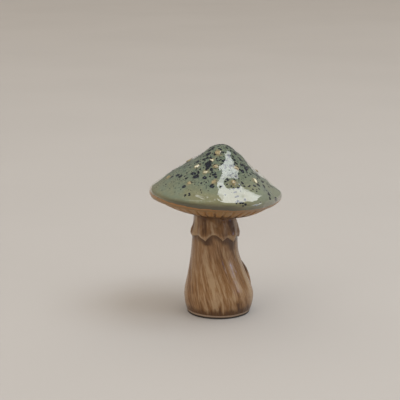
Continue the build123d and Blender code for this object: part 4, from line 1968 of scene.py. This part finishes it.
@dataclass
class Studio:
    """A pale floor, soft light and the camera, with places and sizes in metres.

    Some lights are only mirrored in the glaze, and the others spread the light that falls on all surfaces.
    """

    floor_reach: float = 60.0
    floor_edge: float = 5.0
    floor_colour: Colour = (0.465, 0.445, 0.428)
    floor_shade: float = 0.97
    far_glow: Colour = (0.46, 0.44, 0.41)
    far_reach: Span = (2.6, 7.5)
    room_colour: Colour = (0.98, 0.94, 0.88)
    room_brightness: float = 0.20
    camera_place: Triple = (-0.01066, -0.6657, 0.2163)
    camera_pitch: float = 12.85
    focal_pixels: float = 1215.0
    frame_pixels: float = 400.0
    aim: Triple = (0.0, 0.0, 0.07)
    mirrored: tuple[SoftLight, ...] = (
        SoftLight("wide_softbox", (1.235, -0.225, 1.70), (1.97, 0.69), 4.8),
        SoftLight("middle_softbox", (1.235, 0.23, 1.70), (1.97, 0.22), 3.1),
        SoftLight("back_softbox", (0.715, 0.44, 1.70), (0.69, 0.20), 3.0),
        SoftLight("left_strip", (-0.677, -0.471, 1.70), (0.50, 0.10), 6.0, spin=-28.0),
        SoftLight("side_window", (1.49, -0.49, 0.42), (0.40, 0.07), 11.0, (0.24, 0.44, 1.0), level=False),
        SoftLight("rim_window", (1.468, -0.366, 0.591), (0.55, 0.07), 8.0, level=False),
    )
    spread: tuple[SoftLight, ...] = (
        SoftLight("key", (0.90, -0.30, 1.70), (1.20, 1.20), 4.9, (0.78, 0.89, 1.0)),
        SoftLight("ceiling_fill", (-0.5, 0.6, 5.0), (14.0, 14.0), 1.06, (1.0, 0.91, 0.80)),
        SoftLight("left_fill", (-1.50, -1.50, 0.70), (1.60, 1.30), 1.50, (1.0, 0.93, 0.84), level=False),
        SoftLight("front_fill", (0.20, -2.20, 0.45), (2.20, 0.80), 0.80, (1.0, 0.93, 0.84), level=False),
    )

    def build(self) -> None:
        """Lay the floor, hang the lights and set up the camera."""
        self.lay_floor()
        for light in self.mirrored:
            light.hang(self.aim, mirrored=True)
        for light in self.spread:
            light.hang(self.aim, mirrored=False)
        world = bpy.data.worlds.new("soft_room")
        world.use_nodes = True
        sky = world.node_tree.nodes["Background"]
        sky.inputs["Color"].default_value = (*self.room_colour, 1.0)
        sky.inputs["Strength"].default_value = self.room_brightness
        scene = bpy.context.scene
        scene.world = world
        scene.view_settings.view_transform = "Standard"
        data = bpy.data.cameras.new("front_camera")
        data.lens = self.focal_pixels * data.sensor_width / self.frame_pixels
        camera = bpy.data.objects.new("front_camera", data)
        camera.location = self.camera_place
        camera.rotation_euler = (math.radians(90.0 - self.camera_pitch), 0.0, 0.0)
        scene.collection.objects.link(camera)
        scene.camera = camera

    def lay_floor(self) -> None:
        """Lay the pale floor, with a raised far edge and a faint glow where the lights don't reach."""
        reach = self.floor_reach
        mesh = bpy.data.meshes.new("pale_floor")
        square = [(-reach, -reach), (reach, -reach), (reach, reach), (-reach, reach)]
        corners = [(*corner, height) for height in (0.0, self.floor_edge) for corner in square]
        sides = [(i, i + 4, (i + 1) % 4 + 4, (i + 1) % 4) for i in range(4)]
        mesh.from_pydata(corners, [], [(0, 1, 2, 3), *sides])
        recipe = FinishRecipe("pale_floor")
        at = recipe.place()
        faint = recipe.noise(at, 0.004, 3.0).step(0.3, 0.7)
        away = recipe.add("ShaderNodeVectorMath", {"operation": "LENGTH"}, {0: at}).outputs["Value"]
        far = Amount(recipe, away).step(*(end / MM for end in self.far_reach))
        finish = recipe.done(
            Base_Color=recipe.layered(
                self.floor_colour, (faint, tuple(self.floor_shade * part for part in self.floor_colour))
            ),
            Roughness=0.6,
            Emission_Color=recipe.layered((0.0, 0.0, 0.0), (far, self.far_glow)),
            Emission_Strength=1.0,
        )
        finish.cycles.emission_sampling = "NONE"
        mesh.materials.append(finish)
        floor = placed("pale_floor", mesh)


def dress(node: Piece, material: Material) -> None:
    """Give a CAD node that stays a finish of its own.

    Args:
        node: the node's object.
        material: its finish.
    """
    node.data.materials.clear()
    node.data.materials.append(material)
    log.info("%s: CAD node, dressed in %s", node.name, material.name)


def main() -> None:
    """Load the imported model, build each piece over it and set up the studio."""
    logging.basicConfig(level=logging.INFO, format="%(name)s: %(message)s")
    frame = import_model()
    nodes = frame["nodes"]

    cap, stem, veil = CapForm(), StemForm(), Veil()
    amber = GlassChips(
        name="amber_granules",
        node="amber_chips",
        finish=AmberGlass(),
        corners=14,
        thickness=0.50,
        width=0.8,
        sunk=0.18,
        rounds=0,
        mound_rise=0.12,
        mound_spread=1.25,
        grow=1.25,
        bright=((-112.0, 12.6), (-135.0, 17.3), (-112.0, 19.4), (-38.0, 25.0), (60.0, 18.0)),
    )
    cobalt = GlassChips(
        name="cobalt_droplets",
        node="cobalt_chips",
        finish=CobaltGlass(),
        corners=11,
        thickness=0.34,
        width=0.78,
        sunk=0.10,
        rounds=1,
        mound_rise=0.04,
        mound_spread=1.3,
    )
    amber_chips = amber.gather(nodes[amber.node], cap)
    cobalt_chips = cobalt.gather(nodes[cobalt.node], cap)
    GlazedCap().build(cap, cobalt_chips, amber_chips)
    amber.build(amber_chips, cap)
    cobalt.build(cobalt_chips, cap)
    GillPlate().build(cap)
    BarkStem().build(stem, cap, veil)
    veil.build(stem, cap)
    BarkLobe().build(stem)

    dress(nodes["cap_dome"], PlainClay(Slot.CLAY).material())
    slip = PlainClay(Slot.SLIP, buff=(0.40, 0.31, 0.22)).material()
    for name in ("cap_seam_slip", "stem_joint_slip"):
        dress(nodes[name], slip)

    Studio().build()


if __name__ == "__main__":
    main()
